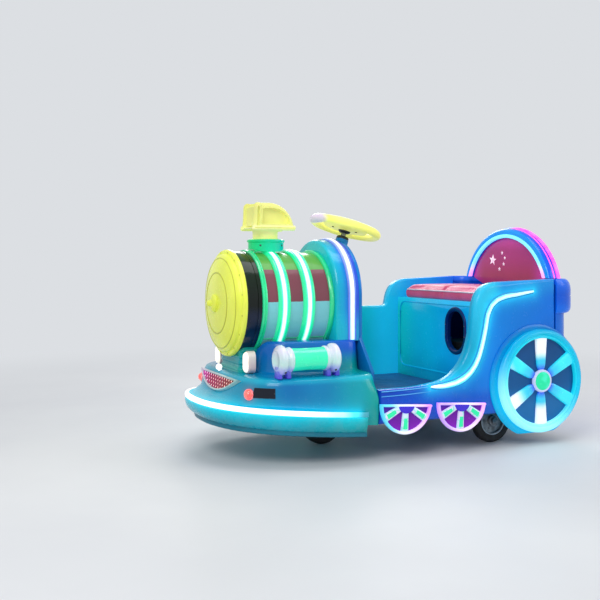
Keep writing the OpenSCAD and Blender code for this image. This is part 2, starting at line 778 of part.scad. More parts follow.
module dash_panel() color("#0a6fb0") {
    x1 = body_rear_x - seat_gap;
    half = BODY_ROWS[3][2] - body_corner_r;
    difference() {
        union() {
            cross_plate(x1 - dash_t, x1) union() {
                arch_2d(-1, pedestal_z);
                polygon([[-half, floor_z - floor_t], [-half, shoulder_z], [-hood_half_w, pedestal_z + 4],
                    [hood_half_w, pedestal_z + 4], [half, shoulder_z], [half, floor_z - floor_t]]);
            }
            steering_line() translate([0, 0, -250]) cylinder(h = 184, r = cowl_r, $fn = small_fn);
        }
        steering_line() translate([0, 0, -400]) cylinder(h = 380, r = shaft_r + stem_gap, $fn = small_fn);
    }
}

// Places its children on the steering wheel's axis
module steering_line() {
    translate([steer_x, 0, steer_z]) rotate([0, -steer_tilt, 0]) children();
}

module cylinder_line() {
    translate([cylinder_x0, cylinder_y, shoulder_z + flange_r + 14]) rotate([0, 90, 0]) children();
}

module cylinder_tubes() color("#38f8c0") {
    both_sides() cylinder_line() translate([0, 0, flange_l + seat_gap])
        cylinder(h = cylinder_l - 2 * flange_l - 2 * seat_gap, r = cylinder_r, $fn = middle_fn);
}

module cylinder_flanges() color("#e8e0f4") {
    foot_h = flange_r + 12;
    foot_w = 26;
    profile = [[0, 0], [flange_r - 26, 0], [flange_r - 20, 8], [flange_r - 6, 10], [flange_r, 16],
        [flange_r, 34], [flange_r - 6, 40], [flange_r - 16, 44], [flange_r - 12, flange_l - 6],
        [flange_r - 16, flange_l], [0, flange_l]];
    both_sides() cylinder_line() for (k = [0, 1]) translate([0, 0, k * cylinder_l]) mirror([0, 0, k]) {
        rotate_extrude($fn = middle_fn) polygon(profile);
        translate([0, -foot_w / 2, 18]) cube([foot_h, foot_w, 14]);
    }
}

module steering_wheel() color("#f4e860") {
    steering_line() {
        rotate_extrude($fn = 64) translate([steer_r, 0]) circle(r = steer_rim_r, $fn = 20);
        translate([0, 0, -18]) cylinder(h = 34, r = 56, $fn = middle_fn);
        translate([0, 0, 15]) cylinder(h = 12, r1 = 56, r2 = 40, $fn = middle_fn);
        for (a = [0, 120, 240]) rotate([0, 0, a]) translate([0, 0, -7]) linear_extrude(14)
            polygon([[40, -34], [steer_r - 6, -22], [steer_r - 6, 22], [40, 34]]);
    }
}

module steering_shaft() color("silver") {
    steering_line() translate([0, 0, -joint_drop + joint_room])
        cylinder(h = joint_drop - joint_room - 18 - seat_gap, r = shaft_r, $fn = small_fn);
}

module front_fork() color("dimgray") {
    translate([front_wheel_x, 0, crown_z0])
        cylinder(h = joint_z - joint_room - crown_z0, r = stem_r, $fn = small_fn);
    block([front_wheel_x - 24, -arm_y - arm_t, crown_z0],
        [front_wheel_x + 24, arm_y + arm_t, headstock_z0 - side_gap]);
    both_sides() block([front_wheel_x - 20, arm_y, tyre_r - 22],
        [front_wheel_x + 20, arm_y + arm_t, crown_z0 + 1]);
    translate([front_wheel_x, 0, tyre_r]) rotate([90, 0, 0])
        cylinder(h = 2 * (arm_y + arm_t), r = axle_r, center = true, $fn = small_fn);
}

module wheel_hub() {
    dish_t = 14;
    drum_t = 8;
    rotate([90, 0, 0]) difference() {
        union() {
            cylinder(h = tyre_w, r = 2.6 * axle_r, center = true, $fn = small_fn);
            cylinder(h = dish_t, r = hub_r, center = true, $fn = middle_fn);
            difference() {
                cylinder(h = tyre_w - 8, r = hub_r, center = true, $fn = middle_fn);
                cylinder(h = tyre_w, r = hub_r - drum_t, center = true, $fn = middle_fn);
            }
        }
        cylinder(h = tyre_w + 2, r = axle_r + axle_gap, center = true, $fn = small_fn);
    }
}

module wheel_tyre() {
    h = tyre_w / 2;
    r0 = hub_r + seat_gap;
    rotate([90, 0, 0]) rotate_extrude($fn = 64) polygon([[r0, -h + 4], [r0 + 8, -h],
        [tyre_r - 14, -h], [tyre_r - 4, -h + 8], [tyre_r, -h + 16], [tyre_r, h - 16],
        [tyre_r - 4, h - 8], [tyre_r - 14, h], [r0 + 8, h], [r0, h - 4]]);
}

module at_front_wheel() {
    translate([front_wheel_x, 0, tyre_r]) children();
}

module at_rear_wheel(side) {
    translate([rear_wheel_x, side * rear_wheel_y, tyre_r]) children();
}

module front_hub() color("silver") {
    at_front_wheel() wheel_hub();
}

module front_tyre() color("#202020") {
    at_front_wheel() wheel_tyre();
}

module rear_axle() color("dimgray") {
    inner_y = rear_wheel_y - tyre_w / 2 - side_gap;
    outer_y = rear_wheel_y + tyre_w / 2 + side_gap;
    translate([rear_wheel_x, 0, tyre_r]) rotate([90, 0, 0]) {
        cylinder(h = 2 * outer_y + 20, r = axle_r, center = true, $fn = small_fn);
        cylinder(h = 2 * inner_y, r = 20, center = true, $fn = small_fn);
    }
    both_sides() translate([rear_wheel_x, outer_y + 10, tyre_r]) rotate([90, 0, 0])
        cylinder(h = 10, r = 1.8 * axle_r, $fn = small_fn);
    both_sides() block([rear_wheel_x - 30, rail_y - 5, tyre_r - 26],
        [rear_wheel_x + 30, rail_y + 5, rail_z1 - rail_h - seat_gap]);
}

module rear_left_hub() color("silver") {
    at_rear_wheel(1) wheel_hub();
}

module rear_left_tyre() color("#202020") {
    at_rear_wheel(1) wheel_tyre();
}

module rear_right_hub() color("silver") {
    at_rear_wheel(-1) wheel_hub();
}

module rear_right_tyre() color("#202020") {
    at_rear_wheel(-1) wheel_tyre();
}

// Outline of a side wall, clockwise; its front edge sweeps down to the sill, or stops at the
// height "low" where the side beside the footwell is closed
function wall_outline(low, closed) = let (
    b = sweep_x - (closed ? 34 : 0),
    e = b + sweep_l,
    z1 = wall_top_z)
    concat([[wall_rear_x, body_z0], [wall_rear_x, z1 + rim_over_h]],
        curve([b - 170, z1], [b - 70, z1 - 4], [b - 16, z1 - 34], [b - 2, z1 - 160], 7),
        closed ? curve([b, low + 8], [b + 8, low], [b + 30, low], [b + 50, low], 2)
            : concat(curve([b + 4, z1 - 194], [b + 18, low + 166], [b + 80, low + 38], [e, low + 16], 10),
                curve([e, low + 16], [e + 50, low + 9], [e + 110, low], [e + 180, low], 3)),
        [[wall_front_x, low], [wall_front_x, body_z0]]);

module left_wall() color("#0a6fd0") {
    side_pad(wall_outline(sill_z, false), wall_in_y, wall_y, 24);
}

module right_wall() color("#0a6fd0") {
    side_pad(wall_outline(side_panel_z, true), -wall_in_y, -wall_y, 24);
}

// Plan path round the rear, from the right side to the left, moved out by d; at the sides
// it keeps only the share "side" of that
function rear_path(d, side = 1) = let (n = 6, half = [for (i = [0 : n]) let (
    a = 90 * i / n,
    r = rear_corner_r,
    e = d * (side + (1 - side) * sin(a)))
    [wall_rear_x - (r + e) * sin(a), wall_y - r + (r + e) * cos(a)]])
    concat([for (p = half) [p[0] - seat_gap, -p[1]]],
        [for (i = [n : -1 : 0]) [half[i][0] - seat_gap, half[i][1]]]);

// Plan of the space inside the walls, as far forward as x1
module cabin_2d(x1) {
    y = wall_in_y - seat_gap;
    intersection() {
        polygon(concat([[x1, -wall_y]], rear_path(-rear_t - seat_gap), [[x1, wall_y]]));
        box_2d([tail_x, -y], [x1, y]);
    }
}

module rear_wall() color("#0850b8") {
    out = rear_path(0);
    in = rear_path(-rear_t);
    translate([0, 0, body_z0]) linear_extrude(wall_top_z - rim_seat_h - body_z0)
        polygon(concat(out, [for (i = [len(in) - 1 : -1 : 0]) in[i]]));
}

module rear_rim() color("#0850b8") {
    bulge = rim_bulge;
    z1 = wall_top_z + rim_over_h;
    z0 = wall_top_z - rim_seat_h + seat_gap;
    profile = [[seat_gap, z0], [seat_gap, rim_z0], [bulge - 16, rim_z0 + 8], [bulge, rim_z0 + 34],
        [bulge, z1 - 60], [bulge - 12, z1 - 22], [bulge - 34, z1], [-rear_t, z1], [-rear_t, z0]];
    paths = [for (p = profile) rear_path(p[0], p[0] > seat_gap ? 0.14 : 1)];
    ring_body([for (j = [0 : len(paths[0]) - 1])
        [for (i = [0 : len(profile) - 1]) [paths[i][j][0], paths[i][j][1], profile[i][1]]]]);
}

// The oval hatch in the seat box's front
module hatch_2d() {
    r = 0.7 * hatch_r;
    for (k = [-1, 1]) translate([hatch_y, hatch_z + k * (hatch_r - r)]) circle(r = r, $fn = middle_fn);
    box_2d([hatch_y - r, hatch_z - hatch_r + r], [hatch_y + r, hatch_z + hatch_r - r]);
}

module seat_box() color("#1296c8") {
    y1 = wall_in_y - seat_gap;
    t = seat_panel_t;
    z0 = floor_z + seat_gap;
    difference() {
        translate([0, 0, z0]) linear_extrude(seat_deck_z - z0) cabin_2d(seat_x);
        block([tail_x, -y1 + t, z0 - 1], [seat_x - t, y1 - t, seat_deck_z - t]);
        cross_plate(seat_x - t - 1, seat_x + 1) hatch_2d();
    }
}

module seat_cushion() color("#c04060") {
    block([back_x + back_led_proud + 1, -wall_in_y + 26, seat_deck_z + seat_gap],
        [seat_x + 6, wall_in_y - 26, seat_deck_z + cushion_t]);
}

// Point number j of the backrest arch, moved out by d; from its right foot to its left one
function back_point(d, j) = let (
    h = back_top_z - back_spring_z + d,
    a0 = asin((back_z0 - back_spring_z) / h),
    a = a0 + (180 - 2 * a0) * j / BACK_STEPS)
    [-(back_half_w + d) * cos(a), back_spring_z + h * sin(a)];

// A profile of distance out and X, swept over the backrest arch
module back_sweep(profile) {
    ring_body([for (j = [0 : BACK_STEPS])
        [for (p = profile) let (q = back_point(p[0], j)) [p[1], q[0], q[1]]]]);
}

module backrest_arch() color("#1850f0") {
    b = -back_band;
    x0 = back_x - back_t;
    x1 = back_x - back_led_t;
    back_sweep([[b + back_led_w, x1], [b, x1], [b, x0 + 10], [b + 8, x0], [-10, x0], [0, x0 + 10],
        [0, back_x - 10], [-8, back_x], [b + back_led_w, back_x]]);
}

module backrest_panel() color("#b03878") {
    ring = [for (j = [0 : BACK_STEPS]) back_point(-back_band - seat_gap, j)];
    z0 = seat_deck_z + seat_gap;
    cross_plate(back_x - back_panel_in - back_panel_t, back_x - back_panel_in)
        polygon(concat([[ring[0][0], z0]], ring, [[ring[BACK_STEPS][0], z0]]));
}

module backrest_lights() color("#ff80e0") {
    b = -back_band + seat_gap;
    w = back_led_w - 2 * seat_gap;
    x0 = back_x - back_t;
    back_sweep([[b, back_x - back_led_t + seat_gap], [b + w, back_x - back_led_t + seat_gap],
        [b + w, back_x + back_led_proud], [b, back_x + back_led_proud]]);
    back_sweep([[seat_gap, x0 + 12], [9, x0 + 14], [9, x0 + 34], [seat_gap, x0 + 36]]);
}

// A place on the side wall: u from its upright edge to the sill's front, v from the sill to its top
function side_at(u, v) = [sweep_x + u * sweep_l, sill_z + v * (wall_top_z - sill_z)];

module wall_lights() color("#e8ffff") {
    mid = side_at(-0.292, 0.558);
    high = side_at(-1.125, 0.868);
    path = concat(curve(side_at(1.133, 0), side_at(0, -0.026), side_at(-0.117, 0.219), mid, 12),
        curve(mid, side_at(-0.35, 0.785), side_at(-0.55, 0.853), high, 8), [high, side_at(-1.604, 0.898)]);
    last = len(path) - 1;
    y = wall_y + seat_gap;
    both_sides() ring_body([for (i = [0 : last]) let (
        s = path_side(path, i),
        w = wall_led_w / 2 * lookup(i / last,
            [[0, 0.4], [0.06, 1], [0.2, 1.45], [0.45, 1.1], [0.9, 1], [1, 0.5]]))
        [for (p = [[w, 0], [w - 4, wall_led_t], [4 - w, wall_led_t], [-w, 0]])
            [path[i][0] + p[0] * s[0], y + p[1], path[i][1] + p[0] * s[1]]]]);
}

module large_wheels() color("#20e0ff") {
    y0 = wall_y + seat_gap;
    y1 = y0 + 8;
    y2 = y1 + 6;
    rim_in = large_r - large_rim_w;
    both_sides() translate([large_x, 0, large_z]) {
        side_plate(y0, y1) difference() {
            translate([fender_dx, 0]) circle(r = fender_r, $fn = round_fn);
            box_2d([-large_r, -fender_r - 1], [fender_r, -large_r]);
        }
        side_plate(y1 - 1, y2) circle(r = large_r, $fn = round_fn);
        side_plate(y2 - 1, large_y) difference() {
            circle(r = large_r, $fn = round_fn);
            circle(r = rim_in, $fn = round_fn);
        }
        side_plate(y2 - 1, large_y) circle(r = large_hub_r, $fn = middle_fn);
        side_plate(y2 - 1, large_y - 6) for (a = [30 : 60 : 330]) rotate(a)
            polygon([[large_hub_r - 4, -large_spoke_w / 3], [rim_in + 2, -large_spoke_w / 2],
                [rim_in + 2, large_spoke_w / 2], [large_hub_r - 4, large_spoke_w / 3]]);
    }
}

module half_wheels() color("#d8c8ff") {
    y0 = wall_y + seat_gap;
    y1 = y0 + 6;
    y2 = y0 + 24;
    hub = 34;
    both_sides() for (k = [0, 1]) translate([half_x - k * half_pitch, 0, half_z - k * half_drop]) {
        side_plate(y0, y1) half_disc(half_r);
        side_plate(y1 - 1, y2) difference() {
            half_disc(half_r);
            translate([0, -half_rim_w]) intersection() {
                half_disc(half_r - half_rim_w);
                translate([0, half_rim_w]) half_disc(half_r - half_rim_w);
            }
        }
        side_plate(y1 - 1, y2 - 4) {
            half_disc(hub);
            for (a = [-150, -90, -30]) rotate(a)
                polygon([[hub - 8, -14], [half_r - half_rim_w + 2, -19],
                    [half_r - half_rim_w + 2, 19], [hub - 8, 14]]);
        }
    }
}

// The lower half of a disc
module half_disc(r) {
    intersection() {
        circle(r = r, $fn = middle_fn);
        box_2d([-r, -r], [r, 0]);
    }
}

module battery() color("#303438") {
    x1 = seat_x - battery_gap;
    block([x1 - battery_l, -battery_w / 2, floor_z + seat_gap], [x1, battery_w / 2, floor_z + battery_h]);
}

module pedal() color("#303030") {
    x1 = body_rear_x - dash_t - pedal_gap;
    x0 = x1 - pedal_l;
    z0 = floor_z + seat_gap;
    side_plate(-pedal_y - pedal_w, -pedal_y) polygon([[x0, z0], [x0, z0 + 8], [x1 - 14, z0 + pedal_h],
        [x1 - 6, z0 + pedal_h - 6], [x1 - 22, z0 + pedal_h - 20], [x1 - 22, z0 + 6], [x1, z0 + 6], [x1, z0]]);
}

chassis();
floor_pan();
front_body();
bumper();
bumper_light();
boiler();
boiler_hoops();
hoop_lights();
smokebox_ring();
smokebox_door();
chimney_collar();
chimney_cap();
front_saddle();
headlamps();
grille_rim();
grille_lattice();
signal_lamps();
hood();
hood_light();
dash_panel();
cylinder_tubes();
cylinder_flanges();
steering_wheel();
steering_shaft();
front_fork();
front_hub();
front_tyre();
rear_axle();
rear_left_hub();
rear_left_tyre();
rear_right_hub();
rear_right_tyre();
left_wall();
right_wall();
rear_wall();
rear_rim();
seat_box();
seat_cushion();
backrest_panel();
backrest_arch();
backrest_lights();
wall_lights();
large_wheels();
half_wheels();
battery();
pedal();
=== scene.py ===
"""Looks of the bumper car in the form of a small steam engine: pieces, materials, light, camera.

Metres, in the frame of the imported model: X is forward, Y is the left side and Z is up.
"""
from math import asin, atan2, copysign, cos, degrees, exp, hypot, pi, radians, sin, sqrt, tan

import bmesh
import bpy
from mathutils import Matrix, Vector


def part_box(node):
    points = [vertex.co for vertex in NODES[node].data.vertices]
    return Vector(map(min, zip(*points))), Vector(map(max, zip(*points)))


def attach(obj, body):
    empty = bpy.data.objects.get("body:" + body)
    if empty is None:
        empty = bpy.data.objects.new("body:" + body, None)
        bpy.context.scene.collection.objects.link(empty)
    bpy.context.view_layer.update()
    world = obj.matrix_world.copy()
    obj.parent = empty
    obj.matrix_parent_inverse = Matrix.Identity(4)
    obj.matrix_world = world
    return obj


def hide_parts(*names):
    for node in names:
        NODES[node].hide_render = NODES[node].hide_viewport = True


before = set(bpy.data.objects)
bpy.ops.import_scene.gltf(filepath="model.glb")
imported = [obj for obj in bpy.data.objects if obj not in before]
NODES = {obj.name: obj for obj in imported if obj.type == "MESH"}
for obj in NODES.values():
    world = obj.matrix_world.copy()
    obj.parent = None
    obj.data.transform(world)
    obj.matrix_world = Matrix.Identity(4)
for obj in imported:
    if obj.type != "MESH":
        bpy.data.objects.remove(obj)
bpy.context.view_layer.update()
scene = bpy.context.scene

# Sizes of the part's source, in metres
NOSE_X, TAIL_X, WALL_Y, FLOOR_Z = 1.050, -1.050, 0.510, 0.288
BODY_REAR_X, CORNER_R, SHELL_T = 0.240, 0.070, 0.007
BODY_Z0, LINE_Z, BUMPER_DROP, BUMPER_H = 0.182, 0.302, 0.052, 0.118
BUMPER_BULGE, BUMPER_END, BUMPER_LED_H = 0.034, 0.060, 0.024
SHOULDER_Z, PEDESTAL_Z, DECK_RISE = 0.432, 0.590, 0.003
BOILER_Z, BOILER_R, BOILER_X1, HOOP_H, HOOP_W, HOOP_LED_W = 0.778, 0.262, 0.768, 0.014, 0.066, 0.032
FRONT_HOOP_W, HOOP_X, HOOP_PITCH, SMOKE_L, DOOR_BULGE = 0.026, 0.648, 0.137, 0.079, 0.052
CHIMNEY_X, COLLAR_R, COLLAR_Z1, NECK_R = 0.640, 0.094, 1.110, 0.066
CAP_Z0, CAP_Z1, CAP_Y = 1.155, 1.300, 0.095
HOOD_Y, HOOD_Z, HOOD_X1, HOOD_T, HOOD_LED_X, HOOD_LED_W = 0.294, 0.816, 0.372, 0.008, 0.282, 0.046
CYL_Y, CYL_R, FLANGE_R, CYL_X0, CYL_L, FLANGE_L = 0.416, 0.056, 0.072, 0.432, 0.330, 0.078
TYRE_R, TYRE_W, HUB_R = 0.120, 0.056, 0.078
STEER_R, STEER_RIM, STEER_X, STEER_Z, STEER_TILT = 0.178, 0.020, 0.164, 1.177, radians(17)
WALL_T, SILL_Z, SIDE_Z, WALL_TOP = 0.062, 0.354, 0.716, 0.884
SWEEP_X, SWEEP_L, WALL_LED_W, WALL_LED_T = -0.330, 0.240, 0.026, 0.008
REAR_R, REAR_T, RIM_BULGE, RIM_Z0 = 0.130, 0.024, 0.045, 0.705
SEAT_X, DECK_Z = -0.450, 0.768
HATCH_Y, HATCH_Z, HATCH_R = 0.172, 0.600, 0.112
BACK_X, BACK_Y, BACK_SPRING, BACK_TOP, BACK_BAND, BACK_T = -0.928, 0.412, 0.782, 1.190, 0.056, 0.092
LARGE_X, LARGE_Z, LARGE_R, LARGE_RIM, LARGE_HUB, LARGE_Y = -0.753, 0.346, 0.279, 0.048, 0.062, 0.550
FENDER_R, FENDER_DX = 0.306, 0.022
HALF_R, HALF_Z, HALF_X, HALF_PITCH, HALF_DROP = 0.149, 0.270, 0.098, 0.336, 0.008
SIGNAL_Z = LINE_Z + 0.051
GAP, BUMPER_GAP = 0.0003, 0.0007

# Places and sizes worked out from them
BODY_MID_X = BODY_REAR_X + CORNER_R
BODY_NOSE_X = NOSE_X - BUMPER_BULGE - BUMPER_GAP
HOOP_R = BOILER_R + HOOP_H
TROUGH_R = HOOP_R + 0.003 + GAP
BOILER_STEPS = 160
DOOR_X = BOILER_X1 + SMOKE_L
REAR_X = TAIL_X + RIM_BULGE + GAP
WALL_REAR_X = REAR_X + REAR_R
WALL_IN_Y = WALL_Y - WALL_T


# Shader help

def rgb(code):
    """A colour from its usual hex code, as Blender's linear values."""
    vals = [int(code[i:i + 2], 16) / 255 for i in (1, 3, 5)]
    return tuple(v / 12.92 if v <= 0.04045 else ((v + 0.055) / 1.055) ** 2.4 for v in vals) + (1.0,)


class Shader:
    """Builds one procedural material around its Principled shader."""

    def __init__(self, name, **sockets):
        self.material = bpy.data.materials.new(name)
        self.material.use_nodes = True
        self.tree = self.material.node_tree
        self.bsdf = self.tree.nodes["Principled BSDF"]
        self.place = self.node("ShaderNodeTexCoord").outputs["Object"]
        for key, value in sockets.items():
            self.bsdf.inputs[key.replace("_", " ").title().replace("Ior", "IOR")].default_value = value

    def node(self, kind, **props):
        n = self.tree.nodes.new(kind)
        for key, value in props.items():
            setattr(n, key, value)
        return n

    def link(self, value, socket):
        if isinstance(value, bpy.types.NodeSocket):
            self.tree.links.new(value, socket)
        else:
            socket.default_value = value

    def set(self, name, value):
        self.link(value, self.bsdf.inputs[name])

    def math(self, op, a, b=0.0, clamp=False):
        n = self.node("ShaderNodeMath", operation=op, use_clamp=clamp)
        self.link(a, n.inputs[0])
        self.link(b, n.inputs[1])
        return n.outputs[0]

    def mul(self, a, b, clamp=False):
        return self.math("MULTIPLY", a, b, clamp)

    def add(self, a, b, clamp=False):
        return self.math("ADD", a, b, clamp)

    def sub(self, a, b):
        return self.math("SUBTRACT", a, b)

    def abs(self, a):
        return self.math("ABSOLUTE", a)

    def vec(self, op, a, b=(0.0, 0.0, 0.0), out="Vector"):
        n = self.node("ShaderNodeVectorMath", operation=op)
        self.link(a, n.inputs[0])
        if op == "SCALE":
            self.link(b, n.inputs["Scale"])
        else:
            self.link(b, n.inputs[1])
        return n.outputs[out]

    def axes(self):
        return self.node_of("ShaderNodeSeparateXYZ", self.place).outputs

    def node_of(self, kind, value):
        n = self.node(kind)
        self.link(value, n.inputs[0])
        return n

    def noise(self, scale, detail=2.0, rough=0.5):
        n = self.node("ShaderNodeTexNoise")
        self.link(self.place, n.inputs["Vector"])
        n.inputs["Scale"].default_value = scale
        n.inputs["Detail"].default_value = detail
        n.inputs["Roughness"].default_value = rough
        return n.outputs["Fac"]

    def cells(self, scale, feature="F1"):
        n = self.node("ShaderNodeTexVoronoi", feature=feature)
        self.link(self.place, n.inputs["Vector"])
        n.inputs["Scale"].default_value = scale
        return n.outputs["Distance"]

    def wave(self, scale, direction):
        n = self.node("ShaderNodeTexWave", bands_direction=direction)
        self.link(self.place, n.inputs["Vector"])
        n.inputs["Scale"].default_value = scale
        return n.outputs["Fac"]

    def span(self, value, a, b, lo=0.0, hi=1.0, smooth=True):
        n = self.node("ShaderNodeMapRange", interpolation_type="SMOOTHSTEP" if smooth else "LINEAR")
        self.link(value, n.inputs["Value"])
        for key, v in (("From Min", a), ("From Max", b), ("To Min", lo), ("To Max", hi)):
            n.inputs[key].default_value = v
        return n.outputs["Result"]

    def ramp(self, value, stops, hard=False):
        n = self.node("ShaderNodeValToRGB")
        n.color_ramp.interpolation = "CONSTANT" if hard else "EASE"
        self.link(value, n.inputs["Fac"])
        while len(n.color_ramp.elements) < len(stops):
            n.color_ramp.elements.new(0.5)
        for e, (pos, colour) in zip(n.color_ramp.elements, stops.items()):
            e.position = pos
            e.color = rgb(colour) if isinstance(colour, str) else colour
        return n.outputs["Color"]

    def along(self, axis, a, b, stops):
        """Colour ramp along an axis of the car, from a to b."""
        return self.ramp(self.span(self.axes()[axis], a, b, smooth=False), stops)

    def mix(self, fac, a, b, blend="MIX"):
        n = self.node("ShaderNodeMix", data_type="RGBA", blend_type=blend)
        self.link(fac, n.inputs["Factor"])
        self.link(rgb(a) if isinstance(a, str) else a, n.inputs["A"])
        self.link(rgb(b) if isinstance(b, str) else b, n.inputs["B"])
        return n.outputs["Result"]

    def bump(self, height, strength, distance, normal=None):
        n = self.node("ShaderNodeBump")
        self.link(height, n.inputs["Height"])
        n.inputs["Strength"].default_value = strength
        n.inputs["Distance"].default_value = distance
        if normal:
            self.link(normal, n.inputs["Normal"])
        return n.outputs["Normal"]

    def far_from(self, points):
        """Distance from a polyline of points, in metres."""
        best = None
        for a, b in zip(points, points[1:]):
            a, b = Vector(a), Vector(b)
            line = b - a
            off = self.vec("SUBTRACT", self.place, tuple(a))
            t = self.vec("DOT_PRODUCT", off, tuple(line / line.length_squared), out="Value")
            t = self.add(t, 0.0, clamp=True)
            d = self.vec("LENGTH", self.vec("SUBTRACT", off, self.vec("SCALE", tuple(line), t)),
                         out="Value")
            best = d if best is None else self.math("MINIMUM", best, d)
        return best

    def fade(self, distance, reach):
        """1 at distance 0, falling to 0 with that reach."""
        return self.math("POWER", 2.718, self.math("DIVIDE", distance, -reach))


LACQUER = {"coat_roughness": 0.08, "specular_ior_level": 0.22}
PLASTIC = {"coat_roughness": 0.1}


def gloss_finish(sh, colour, rough=0.2, peel=0.35, dirt=0.10):
    """Moulded, lacquered shell: cloudy colour, fine speckle, orange peel, dust low down."""
    cloud = sh.span(sh.noise(2.6, 3.0), 0.3, 0.7, 0.86, 1.06)
    speck = sh.span(sh.noise(620.0, 1.0), 0.35, 0.75, 0.97, 1.03)
    shade = sh.node("ShaderNodeCombineXYZ")
    level = sh.mul(cloud, speck)
    for k in range(3):
        sh.link(level, shade.inputs[k])
    colour = sh.mix(1.0, colour, shade.outputs[0], "MULTIPLY")
    low = sh.span(sh.axes()["Z"], 0.10, 0.42, dirt, 0.0)
    dust = sh.mul(low, sh.span(sh.noise(14.0, 5.0, 0.65), 0.35, 0.75))
    sh.set("Base Color", sh.mix(dust, colour, "#8a8f8c"))
    scuff = sh.span(sh.noise(38.0, 6.0, 0.7), 0.52, 0.72, 0.0, 0.16)
    sh.set("Roughness", sh.add(sh.add(scuff, rough), sh.mul(dust, 0.6)))
    wavy = sh.bump(sh.noise(9.0, 1.0), 0.10, 0.004)
    sh.set("Normal", sh.bump(sh.noise(210.0, 2.0), peel, 0.0004, wavy))


def glowing(sh, amount, colour):
    """Adds the light that shines through a lit moulding, or painted light on a part with no lamp in it."""
    sh.set("Emission Color", rgb(colour) if isinstance(colour, str) else colour)
    sh.set("Emission Strength", amount)


def shell(name, colour, glow=0.0, light=None, coat=0.16, soft=0.0, kind=LACQUER, **finish):
    """Material of a moulding, which may glow in its own colour or in the light's (painted light where no
    lamp is in it).
    """
    sh = Shader(name, coat_weight=coat, subsurface_weight=soft, **kind)
    made = colour(sh) if callable(colour) else rgb(colour)
    if glow:
        glowing(sh, glow, light or made)
    gloss_finish(sh, made, **finish)
    return sh.material


def lit(name, colour, strength):
    """Material of a lit diffuser strip, with soft hot spots along it."""
    sh = Shader(name, roughness=0.35)
    made = colour(sh) if callable(colour) else rgb(colour)
    spots = sh.span(sh.noise(40.0, 1.0), 0.3, 0.7, 0.88, 1.08)
    sh.set("Base Color", sh.mix(0.08, made, "#f4f8fa"))
    glowing(sh, sh.mul(spots, strength), made)
    sh.set("Normal", sh.bump(sh.noise(160.0), 0.15, 0.0005))
    return sh.material


# Mesh help


def linked(name, data):
    """A new object of the scene, with that name and data."""
    ob = bpy.data.objects.new(name, data)
    scene.collection.objects.link(ob)
    return ob


def mesh_object(name, points, faces, weld=2e-6):
    """An object from points and faces, its double points welded and its faces turned outwards."""
    mesh = bpy.data.meshes.new(name)
    mesh.from_pydata([tuple(p) for p in points], [], faces)
    bm = bmesh.new()
    bm.from_mesh(mesh)
    bmesh.ops.remove_doubles(bm, verts=bm.verts, dist=weld)
    bmesh.ops.dissolve_degenerate(bm, edges=bm.edges, dist=1e-6)
    bmesh.ops.recalc_face_normals(bm, faces=bm.faces)
    bm.to_mesh(mesh)
    bm.free()
    return linked(name, mesh)


def smooth(ob, angle):
    """Smooth shading, broken where two faces meet by more than the angle."""
    ob.data.shade_smooth()
    ob.data.set_sharp_from_angle(angle=radians(angle))


def piece(name, parts, material, body="car", angle=35.0, replaces=None):
    """One piece from one or several (points, faces), in place of the CAD node that it replaces."""
    points, faces = [], []
    for part in parts if isinstance(parts, list) else [parts]:
        base = len(points)
        points += part[0]
        faces += [tuple(base + i for i in f) for f in part[1]]
    ob = mesh_object(name, points, faces)
    ob.data.materials.append(material)
    smooth(ob, angle)
    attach(ob, body)
    if replaces:
        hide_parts(replaces)
    return ob


def angles(whole, n, first=0, last=None):
    """The angles at steps first to last, of n even steps to the whole one."""
    return [whole * i / n for i in range(first, (n if last is None else last) + 1)]


def loft(rings, closed=True, cap=True, around=False):
    """Points and faces through rings of points; around joins the last ring to the first."""
    n, m = len(rings[0]), len(rings)
    points = [p for r in rings for p in r]
    faces = [(i * n + j, i * n + (j + 1) % n, (i + 1) % m * n + (j + 1) % n, (i + 1) % m * n + j)
             for i in range(m if around else m - 1) for j in range(n if closed else n - 1)]
    if cap and closed and not around:
        faces += [tuple(range(n - 1, -1, -1)), tuple((m - 1) * n + j for j in range(n))]
    return points, faces


def turned(profile, centre, axis, steps=96):
    """A profile of (radius, distance along the axis) turned round an axis."""
    axis = Vector(axis).normalized()
    u = axis.orthogonal().normalized() if abs(axis.z) > 0.9 or abs(axis.y) > 0.9 else Vector((0, 1, 0))
    if abs(axis.y) > 0.9:
        u = Vector((1, 0, 0))
    u = (u - axis * u.dot(axis)).normalized()
    v = axis.cross(u)
    points = []
    for i in range(steps):
        a = 2 * pi * i / steps
        d = u * cos(a) + v * sin(a)
        points += [Vector(centre) + axis * h + d * r for r, h in profile]
    n, m = len(profile), steps
    on_axis = [profile[j][0] < 1e-6 and profile[(j + 1) % n][0] < 1e-6 for j in range(n)]
    faces = [(i * n + j, (i + 1) % m * n + j, (i + 1) % m * n + (j + 1) % n, i * n + (j + 1) % n)
             for i in range(m) for j in range(n) if not on_axis[j]]
    return points, faces


def oblong(u0, u1, v0, v1):
    return [(u0, v0), (u1, v0), (u1, v1), (u0, v1)]


def rounded(points, r, steps=4):
    """A closed outline with each corner rounded by r."""
    out, n = [], len(points)
    for i in range(n):
        a, p, b = (Vector(points[(i + k) % n]) for k in (-1, 0, 1))
        da, db = (a - p), (b - p)
        k = min(r, 0.45 * da.length, 0.45 * db.length)
        p0, p1 = p + da.normalized() * k, p + db.normalized() * k
        for j in range(steps + 1):
            t = j / steps
            out.append(tuple((1 - t) ** 2 * p0 + 2 * t * (1 - t) * p + t * t * p1))
    return out


def curve(p0, p1, p2, p3, steps):
    p0, p1, p2, p3 = (Vector(p) for p in (p0, p1, p2, p3))
    return [tuple((1 - t) ** 3 * p0 + 3 * (1 - t) ** 2 * t * p1 + 3 * (1 - t) * t * t * p2 + t ** 3 * p3)
            for t in (i / steps for i in range(steps))]


